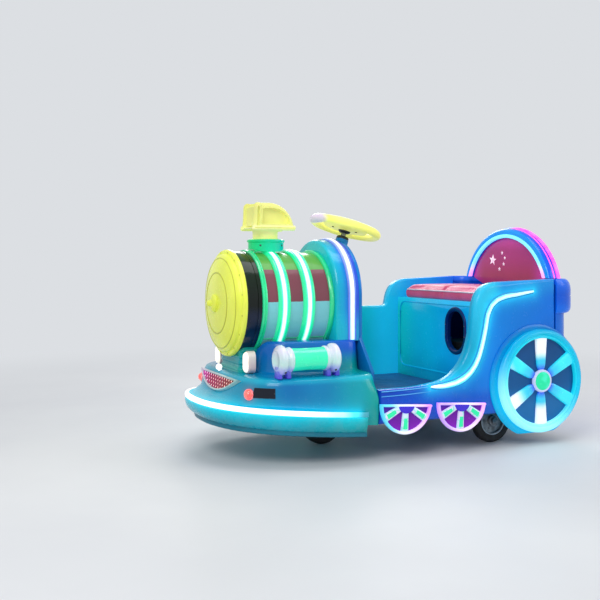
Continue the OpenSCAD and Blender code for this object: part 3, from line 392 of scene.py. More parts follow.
def spaced(points, n):
    """n + 1 points at even distances along an open polyline."""
    points = [Vector(p) for p in points]
    run = [0.0]
    for a, b in zip(points, points[1:]):
        run.append(run[-1] + (b - a).length)
    out, k = [], 0
    for i in range(n + 1):
        s = run[-1] * i / n
        while k < len(run) - 2 and run[k + 1] < s:
            k += 1
        t = (s - run[k]) / max(run[k + 1] - run[k], 1e-12)
        out.append(points[k].lerp(points[k + 1], min(max(t, 0), 1)))
    return out


def inset(points, d):
    """A clockwise outline in a plane, moved inwards by d."""
    n, out = len(points), []
    for i in range(n):
        a, b = Vector(points[i - 1]), Vector(points[(i + 1) % n])
        t = (b - a).normalized()
        out.append((points[i][0] + d * t[1], points[i][1] - d * t[0]))
    return out


def side_pad(outline, y0, y1, r0, r1, steps=6):
    """A clockwise X and Z outline from y0 to y1, with edges rounded by r0 and r1."""
    sign = 1 if y1 > y0 else -1
    rings = []
    for k in range(steps + 1):
        a = pi / 2 * k / steps
        rings.append((r0 * (1 - sin(a)), y0 + sign * r0 * (1 - cos(a))))
    for k in range(steps + 1):
        a = pi / 2 * k / steps
        rings.append((r1 * (1 - cos(a)), y1 - sign * (r1 - r1 * sin(a))))
    return loft([[(p[0], y, p[1]) for p in inset(outline, d)] for d, y in rings])


def slab(outline, axis, a, b, r=0.0015):
    """A 2D outline set square to an axis (X, Y or Z) from a to b, its far edge eased by r."""
    place = {"X": lambda u, v, w: (w, u, v), "Y": lambda u, v, w: (u, w, v), "Z": lambda u, v,
             w: (u, v, w)}[axis]
    area = sum(p[0] * q[1] - q[0] * p[1] for p, q in zip(outline, outline[1:] + outline[:1]))
    pts = outline if area < 0 else outline[::-1]
    step = r if b > a else -r
    rings = [(0, a), (0, b - step), (0.3 * r, b - 0.3 * step), (r, b)]
    return loft([[place(p[0], p[1], w) for p in (inset(pts, d) if d else pts)] for d, w in rings])


def mirrored(part):
    """The same part on the other side of the car."""
    return [(p[0], -p[1], p[2]) for p in part[0]], [f[::-1] for f in part[1]]


def both(parts):
    parts = parts if isinstance(parts, list) else [parts]
    return parts + [mirrored(p) for p in parts]


def tube(path, r, sides=12, closed=False):
    """A round tube along a path of points."""
    path = [Vector(p) for p in path]
    n = len(path)
    rings, up = [], Vector((0, 0, 1))
    for i, p in enumerate(path):
        a = path[i - 1] if closed or i else path[0]
        b = path[(i + 1) % n] if closed or i < n - 1 else path[-1]
        t = (b - a).normalized()
        u = (up - t * up.dot(t))
        u = u.normalized() if u.length > 1e-3 else t.orthogonal().normalized()
        v = t.cross(u)
        radius = r[i] if isinstance(r, (list, tuple)) else r
        rings.append([p + (u * cos(k) + v * sin(k)) * radius
                      for k in angles(2 * pi, sides, 0, sides - 1)])
    return loft(rings, around=closed)


def dome(centre, normal, r, h, steps=20, rows=6, flat=0.0):
    """A low dome, such as a screw head or a lens, that stands on a surface."""
    prof = [(0.0, -0.002), (r, -0.002), (r, 0.0)]
    prof += [(flat * r + (1 - flat) * r * cos(a), h * sin(a))
             for a in angles(pi / 2, rows)]
    prof += [(0.0, h)]
    return turned(prof, centre, normal, steps)


def mm(u, v, *offsets):
    """Points at pairs of offsets in millimetres from the place u, v."""
    return [(u + a / 1000, v + b / 1000) for a, b in offsets]


def modifier(ob, kind, **props):
    m = ob.modifiers.new(kind.title(), kind)
    for key, value in props.items():
        setattr(m, key, value)
    return m


def applied(ob):
    """The object with its modifiers applied."""
    dg = bpy.context.evaluated_depsgraph_get()
    mesh = bpy.data.meshes.new_from_object(ob.evaluated_get(dg), depsgraph=dg)
    ob.modifiers.clear()
    old = ob.data
    ob.data = mesh
    mesh.name = ob.name
    bpy.data.meshes.remove(old)
    return ob


def finish_node(name, material, bevel=0.0):
    """A CAD node that stays: its material, and edges eased by a bevel."""
    angle = 32.0
    ob = NODES[name]
    ob.data.materials.clear()
    ob.data.materials.append(material)
    ob.data.shade_smooth()
    modifier(ob, "WELD", merge_threshold=0.00005)
    if bevel:
        modifier(ob, "BEVEL", width=bevel, segments=2, limit_method="ANGLE",
                 angle_limit=radians(angle), harden_normals=False, use_clamp_overlap=True)
    modifier(ob, "EDGE_SPLIT", split_angle=radians(angle + 8))
    return ob


# Colours of the pieces

def along(axis, a, b, stops):
    """Colour ramp along an axis of the car, from a to b."""
    return lambda sh: sh.along(axis, a, b, stops)


def mottled(scale, low, high, a=0.3, b=0.7):
    """Two colours in soft clouds."""
    return lambda sh: sh.mix(sh.span(sh.noise(scale), a, b), low, high)


def halo(sh, base, distance, reach, tint, most=0.85):
    """A base colour with the tint of a light strip round it."""
    near = sh.mul(sh.fade(distance, reach), most, clamp=True)
    return sh.mix(near, base, tint)


def strip_glow(sh, distance, reach, colour, strength):
    """The light that a strip throws into the moulding round it."""
    glowing(sh, sh.mul(sh.fade(distance, reach), strength), colour)


def off_line(sh):
    """Distance above or below the bumper's line, larger behind the strip's rear end."""
    ax = sh.axes()
    slope = BUMPER_DROP / (BODY_NOSE_X - BODY_REAR_X)
    line = sh.add(sh.mul(ax["X"], slope), LINE_Z - slope * BODY_NOSE_X - 0.012)
    off = sh.abs(sh.sub(ax["Z"], line))
    return sh.add(off, sh.span(ax["X"], 0.36, 0.27, 0.0, 0.1))


def off_x(sh, x):
    return sh.abs(sh.sub(sh.axes()["X"], x))


def off_hoops(sh, x):
    """Distance from the nearer one of the two lit hoops, along the car."""
    return sh.math("MINIMUM", off_x(sh, x), off_x(sh, x - HOOP_PITCH))


def side_at(u, v):
    """A place on the left wall, by shares of its sweep's length and of the wall's height above the sill."""
    return SWEEP_X + u * SWEEP_L, SILL_Z + v * (WALL_TOP - SILL_Z)


S_PATH = curve(side_at(1.133, 0.0), side_at(0.0, -0.026), side_at(-0.117, 0.219), side_at(-0.292, 0.558),
               36)
S_PATH += curve(side_at(-0.292, 0.558), side_at(-0.35, 0.785), side_at(-0.55, 0.853),
                side_at(-1.125, 0.868), 20)
S_PATH += [side_at(u, v) for u, v in ((-1.125, 0.868), (-1.365, 0.884), (-1.604, 0.898))]
S_WIDTH = [(0.0, 0.35), (0.03, 0.8), (0.06, 1.05), (0.2, 1.45), (0.45, 1.1), (0.9, 0.95), (0.97, 0.75),
           (1.0, 0.4)]
S_COARSE = [S_PATH[i] for i in (0, 12, 19, 27, 36, 43, 49, 56, 58)]


def body_colour(sh):
    ax = sh.axes()
    base = sh.along("X", 0.24, 1.0, {
        0: "#08a89c", 0.16: "#06a0b0", 0.42: "#048cc4", 0.62: "#0478bc", 0.82: "#0890b4", 1: "#1c9cb4"})
    violet = sh.mul(sh.span(ax["Z"], 0.46, 0.56), sh.span(ax["X"], 0.62, 0.25, 0.35, 0.9))
    base = sh.mix(violet, base, "#1448d4")
    # Painted highlight: a lighter cyan band along the shoulder
    top = sh.mul(sh.span(ax["Z"], 0.436, 0.424), sh.span(ax["Z"], 0.395, 0.418))
    base = sh.mix(sh.mul(top, 0.5), base, "#1cc4e0")
    for side in (1, -1):
        p = Vector((0.882, side * 0.352, SIGNAL_Z))
        base = halo(sh, base, sh.far_from([p, p + Vector((0.0, 0.001, 0.0))]), 0.016, "#ff6878", 0.9)
    strip_glow(sh, off_line(sh), 0.022, "#10dcff", 0.55)
    return halo(sh, base, off_line(sh), 0.024, "#10dcf8", 0.75)


def bumper_colour(sh):
    base = sh.along("X", 0.24, 1.05, {0: "#06a494", 0.2: "#04acb4", 0.6: "#04b0c8", 1: "#08a0b8"})
    # Painted shade: darker towards the bottom, where the belly turns under
    base = sh.mix(sh.span(sh.axes()["Z"], 0.19, 0.13, 0.0, 0.45), base, "#047c90")
    strip_glow(sh, off_line(sh), 0.026, "#00dcff", 0.45)
    return halo(sh, base, off_line(sh), 0.028, "#08f0ff", 0.75)


def left_wall_colour(sh):
    """Cyan ahead of the light strip and blue behind it."""
    ax = sh.axes()
    greys = {0: 0.76, 0.08: 0.66, 0.16: 0.58, 0.30: 0.48, 0.50: 0.40, 0.72: 0.36, 0.86: 0.32, 0.93: 0.14}
    edge = sh.along("Z", 0.35, 0.85, {k: (v, v, v, 1.0) for k, v in greys.items()})
    edge = sh.node_of("ShaderNodeSeparateColor", edge).outputs[0]
    ahead = sh.sub(ax["X"], sh.add(sh.mul(edge, 0.3), -0.52))
    back = sh.along("X", -0.90, 0.24, {0: "#0478e8", 0.35: "#0488ec", 0.62: "#046cd8", 1: "#0444c0"})
    # Painted highlight: lighter near the top of the wall
    back = sh.mix(sh.span(ax["Z"], 0.78, 0.88, 0.0, 0.5), back, "#18a8ec")
    lip = sh.mul(sh.span(ahead, -0.05, 0.04), sh.span(ax["X"], -0.06, -0.22))
    lip = sh.mul(lip, sh.span(ax["Z"], 0.35, 0.43))
    base = sh.mix(lip, back, sh.mix(sh.span(ax["Z"], 0.5, 0.84), "#08a4cc", "#30ccf4"))
    base = sh.mix(sh.span(ax["Z"], 0.35, 0.27, 0.0, 0.7), base, "#0450cc")
    # Painted highlight: cyan on the top and front rims, inwards from the outer face
    base = sh.mix(sh.span(ax["Y"], WALL_Y - 0.02, WALL_Y - 0.05), base, "#08a4cc")
    dist = sh.far_from([(x, WALL_Y, z) for x, z in S_COARSE])
    strip_glow(sh, dist, 0.024, "#20dcff", 0.55)
    return halo(sh, base, dist, 0.024, "#20e0ff", 0.8)


def right_wall_colour(sh):
    """The inner face glows in the cabin and above the seat's deck."""
    ax = sh.axes()
    base = sh.along("X", -0.9, 0.24, {
        0: "#1c68dc", 0.25: "#1090dc", 0.48: "#18b8e0", 0.62: "#0cacbc", 0.85: "#0cb89c", 1: "#10b484"})
    inner = sh.span(ax["Y"], -WALL_Y + 0.02, -WALL_Y + 0.05)
    cabin = sh.span(ax["X"], SEAT_X - 0.04, SEAT_X, 0.0, 0.42)
    shelf = sh.span(ax["Z"], DECK_Z - 0.01, DECK_Z + 0.01, 0.0, 0.42)
    glowing(sh, sh.mul(inner, sh.math("MAXIMUM", cabin, shelf)), base)
    return base


def seat_box_colour(sh):
    ax = sh.axes()
    base = sh.along("Y", -0.45, 0.45, {0: "#08b8b4", 0.3: "#08a4c8", 0.7: "#0894d4", 1: "#08a0d8"})
    base = sh.mix(sh.span(ax["Z"], 0.70, 0.77, 0.0, 0.6), base, "#20c4ec")
    # Painted shade: dark navy inside the box, behind its front and under the deck
    inside_shade = sh.mul(sh.span(ax["X"], SEAT_X - 0.012, SEAT_X - 0.02),
                    sh.span(ax["Z"], DECK_Z - 0.01, DECK_Z - 0.03))
    base = sh.mix(inside_shade, base, "#082868")
    # Painted light: a glow, stronger higher up, on all but the inside
    glowing(sh, sh.mul(sh.span(ax["Z"], 0.28, 0.50, 0.2, 0.42), sh.sub(1.0, inside_shade)), base)
    return base


def hood_colour(sh):
    base = sh.along("X", 0.24, 0.372, {0: "#2c50dc", 0.28: "#0870dc", 0.50: "#0484dc", 0.74: "#08b0e0",
                                       1: "#10c4d4"})
    strip_glow(sh, off_x(sh, HOOD_LED_X), 0.016, "#3888ff", 0.45)
    return sh.mix(sh.mul(sh.span(sh.axes()["Z"], 0.78, 0.62), 0.6), base, "#0cc4d0")


def boiler_reflection_bands(sh):
    """Painted reflections: bands that stand for the surroundings mirrored in a glossy barrel, their edges
    slightly uneven.
    """
    z = sh.add(sh.span(sh.axes()["Z"], 0.5, 1.05, smooth=False), 0.0)
    edge = sh.mul(sh.sub(sh.noise(60.0, 3.0), 0.5), 0.004)
    return sh.ramp(sh.add(z, edge), {0: "#78c4cc", 0.527: "#7c4450", 0.818: "#52a040"}, hard=True)


def hoop_colour(sh):
    strip_glow(sh, off_hoops(sh, HOOP_X), 0.030, "#18f0a8", 0.8)
    return sh.along("Z", 0.52, 1.06, {0: "#18e0a0", 0.55: "#2ee89c", 1: "#24d890"})


def hoop_light(sh):
    return sh.mix(sh.span(off_hoops(sh, HOOP_X + 0.002), 0.002, 0.014), "#f8fffc", "#10d8a8")


def hood_light(sh):
    core = sh.along("Z", 0.6, 1.1, {0: "#c8fcf4", 0.5: "#f4f0ff", 1: "#ecdcff"})
    return sh.mix(sh.span(off_x(sh, HOOD_LED_X), 0.003, 0.016), core, "#6c90f8")


def wall_light(sh):
    core = sh.mix(sh.span(sh.axes()["Z"], 0.40, 0.82), "#fdf8f4", "#dcf8ff")
    edge = sh.span(sh.far_from([(x, WALL_Y, z) for x, z in S_PATH[::4] + S_PATH[-1:]]), 0.004, 0.015)
    return sh.mix(edge, core, "#30ccf8")


def back_light(sh):
    ax = sh.axes()
    front = sh.span(ax["X"], BACK_X - 0.03, BACK_X - 0.01)
    cyan = sh.mix(sh.span(ax["Z"], 0.90, 1.0), "#ff9cf0", "#70e4ff")
    pink = mottled(30.0, "#ff28b4", "#ff58cc")(sh)
    return sh.mix(front, sh.mix(sh.span(ax["Y"], -0.04, 0.08), "#2898ff", pink), cyan)


def steering_colour(sh):
    ends = sh.span(sh.axes()["X"], 0.322, 0.345)
    back_end = sh.mul(sh.span(sh.axes()["X"], 0.03, -0.01), 0.5)
    tone = sh.mix(ends, sh.mix(back_end, "#f0ee78", "#f4ecb4"), "#e4d4ec")
    # Painted light: a glow brightens the wheel, less at its front end
    glowing(sh, sh.span(ends, 0.0, 1.0, 0.40, 0.15), tone)
    return tone


def from_hub(sh, x, z):
    """X, Z and radius about a wheel's axle."""
    ax = sh.axes()
    dx, dz = sh.sub(ax["X"], x), sh.sub(ax["Z"], z)
    return dx, dz, sh.math("SQRT", sh.add(sh.mul(dx, dx), sh.mul(dz, dz)))


def wheel_glow(x, r0, r1, inner, outer, highlight, amount):
    """A large wheel's lit ring, with a painted highlight low down in front, in colour and in glow."""
    def colour(sh):
        dx, dz, r = from_hub(sh, x, LARGE_Z)
        low = sh.span(sh.sub(sh.mul(dx, 0.5), dz), -0.05, 0.26)
        tone = sh.mix(sh.mul(low, 0.75), sh.mix(sh.span(r, r0, r1), inner, outer), highlight)
        glowing(sh, sh.mul(sh.add(low, 0.45), amount), tone)
        return tone
    return colour


def large_spoke_colour(sh):
    dx, dz, r = from_hub(sh, LARGE_X, LARGE_Z)
    # Blue towards the hub is painted shadow at the spokes' inner ends
    tone = sh.ramp(sh.span(r, 0.06, 0.235, smooth=False), {0: "#3060e8", 0.25: "#28c8ec", 0.6: "#30e4f0",
                                                           1: "#28dcf4"})
    # Painted highlights: white on the upright spokes and low down in front
    pale = sh.mul(sh.span(sh.abs(dx), 0.10, 0.03), sh.span(r, 0.11, 0.16))
    low = sh.mul(sh.span(sh.sub(dx, sh.mul(dz, 0.6)), 0.12, 0.22), sh.span(r, 0.10, 0.2))
    return sh.mix(sh.math("MAXIMUM", pale, low), tone, "#f0f4fa")


def half_spoke_colour(sh):
    return sh.ramp(sh.span(sh.noise(26.0, 0.0), 0.38, 0.62), {0: "#e8dcf8", 0.5: "#90e4dc", 1: "#d0e8f8"})


def panel_colour(sh):
    tone = sh.along("Z", 0.78, 1.13, {0: "#b02474", 0.3: "#a83060", 0.75: "#b43480", 1: "#d844a4"})
    return sh.mix(sh.span(sh.abs(sh.axes()["Y"]), 0.20, 0.38), tone, "#d23cb4")


def arch_colour(sh):
    tone = sh.along("X", BACK_X - BACK_T, BACK_X, {
        0: "#e030d8", 0.30: "#8c40f0", 0.5: "#1848f0", 0.85: "#0c60f0", 1: "#0c98f4"})
    front = sh.span(sh.axes()["X"], BACK_X - 0.03, BACK_X)
    # Painted light: a glow, stronger at the front edge
    glowing(sh, sh.add(sh.mul(front, 0.15), 0.12), tone)
    return tone


def signal_lens():
    sh = Shader("signal_red", roughness=0.12, coat_weight=1.0, coat_roughness=0.03, subsurface_weight=0.2)
    sh.set("Base Color", mottled(90.0, "#ff4048", "#ff6a60", 0.4, 0.6)(sh))
    sh.set("Normal", sh.bump(sh.cells(260.0), 0.5, 0.0008))
    glowing(sh, sh.span(sh.cells(260.0), 0.0, 0.6, 1.1, 0.5), "#ff6c60")
    return sh.material


def metal(name, colour, rough, worn=False, cast=False):
    sh = Shader(name, metallic=1.0)
    sh.set("Base Color", sh.mix(sh.span(sh.noise(30.0, 4.0), 0.3, 0.7), rgb(colour), "#6c7074"))
    grime = sh.span(sh.noise(55.0, 6.0, 0.7), 0.4, 0.7, 0.0, 0.3 if worn else 0.08)
    sh.set("Roughness", sh.add(grime, rough))
    height = sh.cells(420.0) if cast else sh.noise(300.0, 3.0)
    sh.set("Normal", sh.bump(height, 0.35 if cast else 0.15, 0.0006))
    return sh.material


def painted_steel(name, colour):
    sh = Shader(name, coat_weight=0.2, coat_roughness=0.2)
    rust = sh.span(sh.noise(16.0, 7.0, 0.75), 0.60, 0.70)
    sh.set("Base Color", sh.mix(rust, sh.mix(sh.noise(6.0, 3.0), rgb(colour), "#3c4248"), "#5c4030"))
    sh.set("Roughness", sh.add(sh.mul(rust, 0.4), 0.42))
    sh.set("Normal", sh.bump(sh.noise(140.0, 4.0), 0.35, 0.0006))
    return sh.material


def rubber(name, colour, rough):
    sh = Shader(name)
    dust = sh.span(sh.noise(24.0, 6.0, 0.7), 0.45, 0.75, 0.0, 0.35)
    sh.set("Base Color", sh.mix(dust, rgb(colour), "#55565a"))
    sh.set("Roughness", sh.add(sh.mul(dust, 0.3), rough))
    sh.set("Normal", sh.bump(sh.noise(480.0, 3.0), 0.4, 0.0005))
    return sh.material


def leather(name, low, high, grain=150.0, glow=0.0):
    sh = Shader(name, coat_weight=0.25, coat_roughness=0.25, specular_ior_level=0.3)
    pores = sh.cells(grain, "DISTANCE_TO_EDGE")
    tone = sh.mix(sh.span(sh.noise(5.0, 4.0), 0.3, 0.7), low, high)
    tone = sh.mix(sh.span(pores, 0.0, 0.12, 0.22, 0.0), tone, "#4a1828")
    sh.set("Base Color", tone)
    glowing(sh, glow, tone)
    sh.set("Roughness", sh.span(sh.noise(12.0, 4.0), 0.3, 0.7, 0.30, 0.46))
    folds = sh.bump(sh.noise(22.0, 3.0, 0.6), 0.35, 0.003)
    sh.set("Normal", sh.bump(sh.span(pores, 0.0, 0.16), 0.5, 0.0006, folds))
    return sh.material


def floor_mat(name):
    sh = Shader(name)
    ribs = sh.wave(36.0, "Y")
    tone = sh.mix(sh.span(sh.noise(5.0, 5.0), 0.35, 0.7), "#0c4c84", "#135e98")
    sh.set("Base Color", sh.mix(sh.mul(ribs, 0.25), tone, "#2a74a8"))
    sh.set("Roughness", sh.span(sh.noise(20.0, 5.0), 0.3, 0.7, 0.42, 0.62))
    fine = sh.bump(sh.noise(400.0, 2.0), 0.3, 0.0004)
    sh.set("Normal", sh.bump(ribs, 0.6, 0.002, fine))
    return sh.material


# A glow on a moulding with no lamp in it is painted light that brightens it.
M = {
    # Front body
    "body": shell("body_shell", body_colour, coat=0.2),
    "bumper": shell("bumper_shell", bumper_colour, rough=0.24, dirt=0.2),
    "bumper_led": lit("bumper_strip", along("X", 0.25, 1.04, {
        0: "#046c78", 0.11: "#067888", 0.18: "#28c8e0", 0.28: "#a0f4ff", 0.5: "#f2ffff", 0.78: "#f6e6e4",
        1: "#fdf4f4"}), 1.0),
    "lip": shell("bumper_skirt", "#047c94", rough=0.4, dirt=0.1),
    "grille_rim": shell("pale_trim", along("Y", -0.28, 0.28, {0: "#e4d8ec", 0.6: "#c8dcdc", 1: "#a4ccc8"}),
                        dirt=0.05),
    "lattice": shell("grille_red", along("Y", -0.25, 0.2, {0: "#d040b0", 0.4: "#a82c5c", 1: "#842428"}),
                     glow=0.10, coat=0.3, kind={}, dirt=0.0),
    "grille_back": lit("grille_backing", along("Y", -0.25, 0.2, {0: "#ffd0f8", 0.5: "#fcd0d0",
                                                                 1: "#f8d4c4"}), 0.85),
    "signal": signal_lens(),
    "bezel": shell("bezel_red", mottled(60.0, "#f07078", "#ffa0a0"), glow=0.4, rough=0.2, dirt=0.0),
    "plate": shell("plate_black", "#0e1626", rough=0.3, dirt=0.05),
    "lamp": lit("lamp_white", mottled(40.0, "#fff0dc", "#fffaf2", 0.35, 0.65), 0.8),
    "lamp_case": shell("lamp_case", along("Z", 0.44, 0.55, {0: "#e8c8c8", 1: "#f6efe4"}), dirt=0.0),
    "knob": lit("knob_white", "#ffffff", 0.8),
    "saddle": shell("saddle_shell", along("Z", 0.43, 0.60, {0: "#10a098", 0.35: "#0c94a0", 0.7: "#109c94",
                                                            1: "#28b090"}), glow=0.1, dirt=0.0),
    # Boiler and chimney
    # Boiler: painted reflections in bands, and a glow of painted light
    "boiler": shell("boiler_painted_reflections", boiler_reflection_bands, glow=0.14, coat=0.25, rough=0.28, peel=0.25, dirt=0.0),
    "hoops": shell("hoop_plastic", hoop_colour, coat=0.5, kind=PLASTIC, dirt=0.0),
    "frames": shell("frame_plastic", "#3ee8a0", dirt=0.0),
    "hoop_led": lit("hoop_strip", hoop_light, 0.95),
    # Painted reflections on the black gloss: blue low down, dark green high up, with a lighter painted
    # highlight band near the top
    "smokebox": shell("smokebox_gloss", along("Z", 0.50, 1.06, {
        0: "#143c5c", 0.38: "#0c1c38", 0.5: "#08120e", 0.86: "#0c2410", 0.93: "#204818", 1: "#1c3c18"}),
        coat=0.2, rough=0.14, dirt=0.0),
    "door": shell("yellow_gloss", mottled(3.2, "#dfe84a", "#eaf25e", 0.35, 0.65), 0.14, "#eef468", 0.2,
                  0.06,
                  rough=0.22, dirt=0.0),
    "door_trim": shell("door_trim_yellow", "#c8cc40", rough=0.3, dirt=0.0),
    "collar": shell("turquoise_gloss", along("X", 0.54, 0.74, {0: "#10ccc8", 0.55: "#10d8a4",
                                                               1: "#14dc88"}),
                    glow=0.1, dirt=0.0),
    # Painted light: the cap's glow brightens it
    "cap": shell("cream_gloss", along("Z", 1.11, 1.30, {0: "#ecf088", 0.28: "#f0f2a8", 0.45: "#e6e87c",
                                                        1: "#dcde74"}), 0.20, "#fcfcb8", 0.04, 0.1,
                 rough=0.5, peel=0.1, dirt=0.0),
    "tube": shell("mint_tube", along("Z", 0.45, 0.58, {0: "#20d8c0", 0.5: "#30f0b8", 1: "#48f8c0"}),
                  0.30, "#30f0b0", 0.5, 0.15, PLASTIC, dirt=0.0),
    "flange": shell("lilac_gloss", along("Z", 0.43, 0.58, {0: "#7a70f0", 0.22: "#a8a8f4", 0.5: "#c8ece4",
                                                           1: "#e8e4f4"}), 0.12, "#c0d0f0", 0.5, 0.1,
                                                           PLASTIC, dirt=0.0),
    "foot": shell("foot_violet", along("Z", 0.43, 0.50, {0: "#6058e8", 1: "#98a8f0"}), dirt=0.0),
    # Driver's place
    "hood": shell("hood_shell", hood_colour, coat=0.3),
    "hood_led": lit("hood_strip", hood_light, 0.9),
    "hood_rail": shell("hood_rail_blue", along("Z", 0.6, 1.1, {0: "#6a8cf0", 1: "#90a4f4"}), dirt=0.0),
    "dash": shell("dash_shell", along("Z", 0.28, 1.0, {0: "#0668a8", 0.6: "#0474c0", 1: "#0480d8"})),
    "wheel": shell("wheel_yellow", steering_colour, coat=0.1, soft=0.05, rough=0.34, peel=0.6, dirt=0.0),
    "wheel_pad": shell("wheel_lilac", "#c8acd4", glow=0.15, rough=0.4, dirt=0.0),
    "black": rubber("black_plastic", "#15171a", 0.45),
    "pedal": rubber("pedal_rubber", "#202224", 0.6),
    "floor": floor_mat("floor_mat"),
    # Rear body
    "left_wall": shell("left_wall_shell", left_wall_colour, coat=0.1, dirt=0.15),
    "right_wall": shell("right_wall_shell", right_wall_colour, coat=0.2, dirt=0.15),
    "wall_led": lit("wall_strip", wall_light, 0.95),
    "strip_seat": shell("strip_seat", "#28a8e8", dirt=0.0),
    "bead": shell("sill_bead", "#58b8f0", dirt=0.0),
    "rear": shell("rear_shell", along("Z", 0.18, 0.86, {0: "#0660c4", 0.6: "#0870dc", 1: "#0658d0"}),
                  dirt=0.2),
    "rim": shell("royal_shell", along("Z", 0.70, 0.90, {0: "#0870e8", 0.5: "#0858d4", 1: "#1c6cec"}),
                 glow=0.12),
    "seat_box": shell("seat_box_shell", seat_box_colour, dirt=0.05),
    "hatch_rim": shell("hatch_rim", "#062a6c", dirt=0.0),
    "seat_trim": shell("seat_trim", "#08a4d0", glow=0.3, dirt=0.0),
    # Painted light: the vinyl's glow brightens the seat
    "cushion": leather("seat_vinyl", "#c8406c", "#d85084", glow=0.12),
    "piping": leather("piping_vinyl", "#f0d0dc", "#fff0f4", grain=300.0),
    "panel": shell("backrest_pink", panel_colour, glow=0.10, coat=0.4, soft=0.05, rough=0.16, dirt=0.0),
    "arch": shell("arch_blue", arch_colour, coat=0.3, dirt=0.0),
    "back_led": lit("back_strip", back_light, 0.8),
    "star": lit("star_pale", mottled(40.0, "#f4d8f0", "#fff4fc", 0.4, 0.6), 0.35),
    # Ornamental wheels
    "large_rim": shell("large_rim_lit", wheel_glow(LARGE_X, LARGE_R - 0.05, LARGE_R, "#18dcf4", "#04b0e0",
                                                   "#a4f6ff", 0.40), coat=0.15, soft=0.1, dirt=0.0),
    "fender": shell("fender_blue", wheel_glow(LARGE_X + FENDER_DX, 0.27, FENDER_R, "#04a0e0", "#0478d4",
                                              "#08c0e8", 0.16), coat=0.15, soft=0.1, dirt=0.0),
    "large_back": shell("large_backing", along("Z", 0.10, 0.58, {0: "#046cb0", 0.25: "#1878bc",
                                                                 0.5: "#005c9c",
                                                                 1: "#004c88"}), rough=0.45, dirt=0.0),
    "large_spoke": shell("large_spoke_lit", large_spoke_colour, 0.38, None, 0.4, 0.1, PLASTIC, dirt=0.0),
    "hub_ring": shell("hub_ring_lilac", "#c8d0f4", glow=0.3, dirt=0.0),
    "hub_mint": shell("hub_mint", mottled(12.0, "#28e8a8", "#48f8cc", 0.4, 0.6), glow=0.3, dirt=0.0),
    "half_rim": lit("half_rim_lit", along("X", -0.40, 0.25, {
        0: "#f0a8ff", 0.2: "#f4e0ff", 0.42: "#c8a0ff", 0.56: "#e090ff", 0.64: "#f0c8ff", 0.8: "#e8f0ff",
        0.92: "#60d8f8", 1: "#38c8f8"}), 0.42),
    "half_back": shell("half_backing", along("Z", 0.12, 0.27, {0: "#8c18b8", 0.6: "#7414a4", 1: "#4418a0"}),
                       glow=0.1, dirt=0.0),
    "half_spoke": shell("half_spoke_lit", half_spoke_colour, 0.2, None, 0.3, 0.1, {}, dirt=0.0),
    "half_insert": shell("half_insert_mint", "#30e4a4", glow=0.3, dirt=0.0),
    "half_hub": shell("half_hub_violet", "#4430d8", glow=0.1, dirt=0.0),
    # Running gear
    "tyre": rubber("tyre_rubber", "#1a1b1d", 0.7),
    "ring": shell("pale_ring", "#b8c8d4", rough=0.3, dirt=0.2),
    "hub": metal("cast_hub", "#a4a8ac", 0.42, worn=True, cast=True),
    "steel": metal("axle_steel", "#8c9094", 0.34, worn=True),
    "shaft": metal("shaft_steel", "#a8acb0", 0.25, worn=True),
    "frame": painted_steel("frame_paint", "#2a2f34"),
    "screw": metal("screw_dark", "#30343a", 0.4),
    "battery": shell("battery_case", "#23272b", rough=0.5, dirt=0.0),
}


# The front body

def signed_pow(v, e):
    return copysign(abs(v) ** e, v)


def nose_point(nose, half, e, a):
    return (BODY_MID_X + (nose - BODY_MID_X) * abs(cos(a)) ** (2 / e),
            half * signed_pow(sin(a), 2 / e))


# Rows of the front body: height at the nose, nose X, half width, exponent of the plan, corner
# radius, drop at the rear
ROWS = [
    (BODY_Z0 + BUMPER_DROP, BODY_NOSE_X - 0.024, WALL_Y - 0.008, 2.4, 0.016, BUMPER_DROP),
    (LINE_Z, BODY_NOSE_X, WALL_Y, 2.4, 0.016, BUMPER_DROP),
    (LINE_Z + 0.024, BODY_NOSE_X - 0.084, WALL_Y - 0.003, 3.4, 0.016, 0.3 * BUMPER_DROP),
    (SHOULDER_Z - 0.026, BODY_NOSE_X - 0.114, WALL_Y - 0.020, 4.0, CORNER_R, 0.0),
    (SHOULDER_Z - 0.007, BODY_NOSE_X - 0.124, WALL_Y - 0.034, 4.0, CORNER_R, 0.0),
    (SHOULDER_Z, BODY_NOSE_X - 0.140, WALL_Y - 0.056, 3.8, CORNER_R, 0.0),
    (SHOULDER_Z + DECK_RISE, BODY_NOSE_X - 0.226, WALL_Y - 0.168, 3.4, CORNER_R, 0.0),
    (SHOULDER_Z + 0.022, BODY_NOSE_X - 0.238, WALL_Y - 0.182, 3.5, CORNER_R, 0.0),
    (PEDESTAL_Z - 0.014, BODY_NOSE_X - 0.254, WALL_Y - 0.200, 3.7, CORNER_R, 0.0),
    (PEDESTAL_Z, BODY_NOSE_X - 0.268, WALL_Y - 0.214, 3.8, CORNER_R, 0.0),
    (PEDESTAL_Z, BODY_NOSE_X - 0.276, WALL_Y - 0.300, 4.0, CORNER_R, 0.0)]


def eased(keys, values, x):
    """Monotone cubic through the values at the keys."""
    n = len(keys)
    d = [(values[i + 1] - values[i]) / max(keys[i + 1] - keys[i], 1e-9) for i in range(n - 1)]
    m = [d[0]] + [0.0 if d[i - 1] * d[i] <= 0 else 2 * d[i - 1] * d[i] / (d[i - 1] + d[i])
                  for i in range(1, n - 1)] + [d[-1]]
    i = max(k for k in range(n - 1) if x >= keys[k] - 1e-9)
    h = keys[i + 1] - keys[i]
    t = min((x - keys[i]) / h, 1.0)
    return ((2 * t ** 3 - 3 * t * t + 1) * values[i] + (t ** 3 - 2 * t * t + t) * h * m[i]
            + (3 * t * t - 2 * t ** 3) * values[i + 1] + (t ** 3 - t * t) * h * m[i + 1])


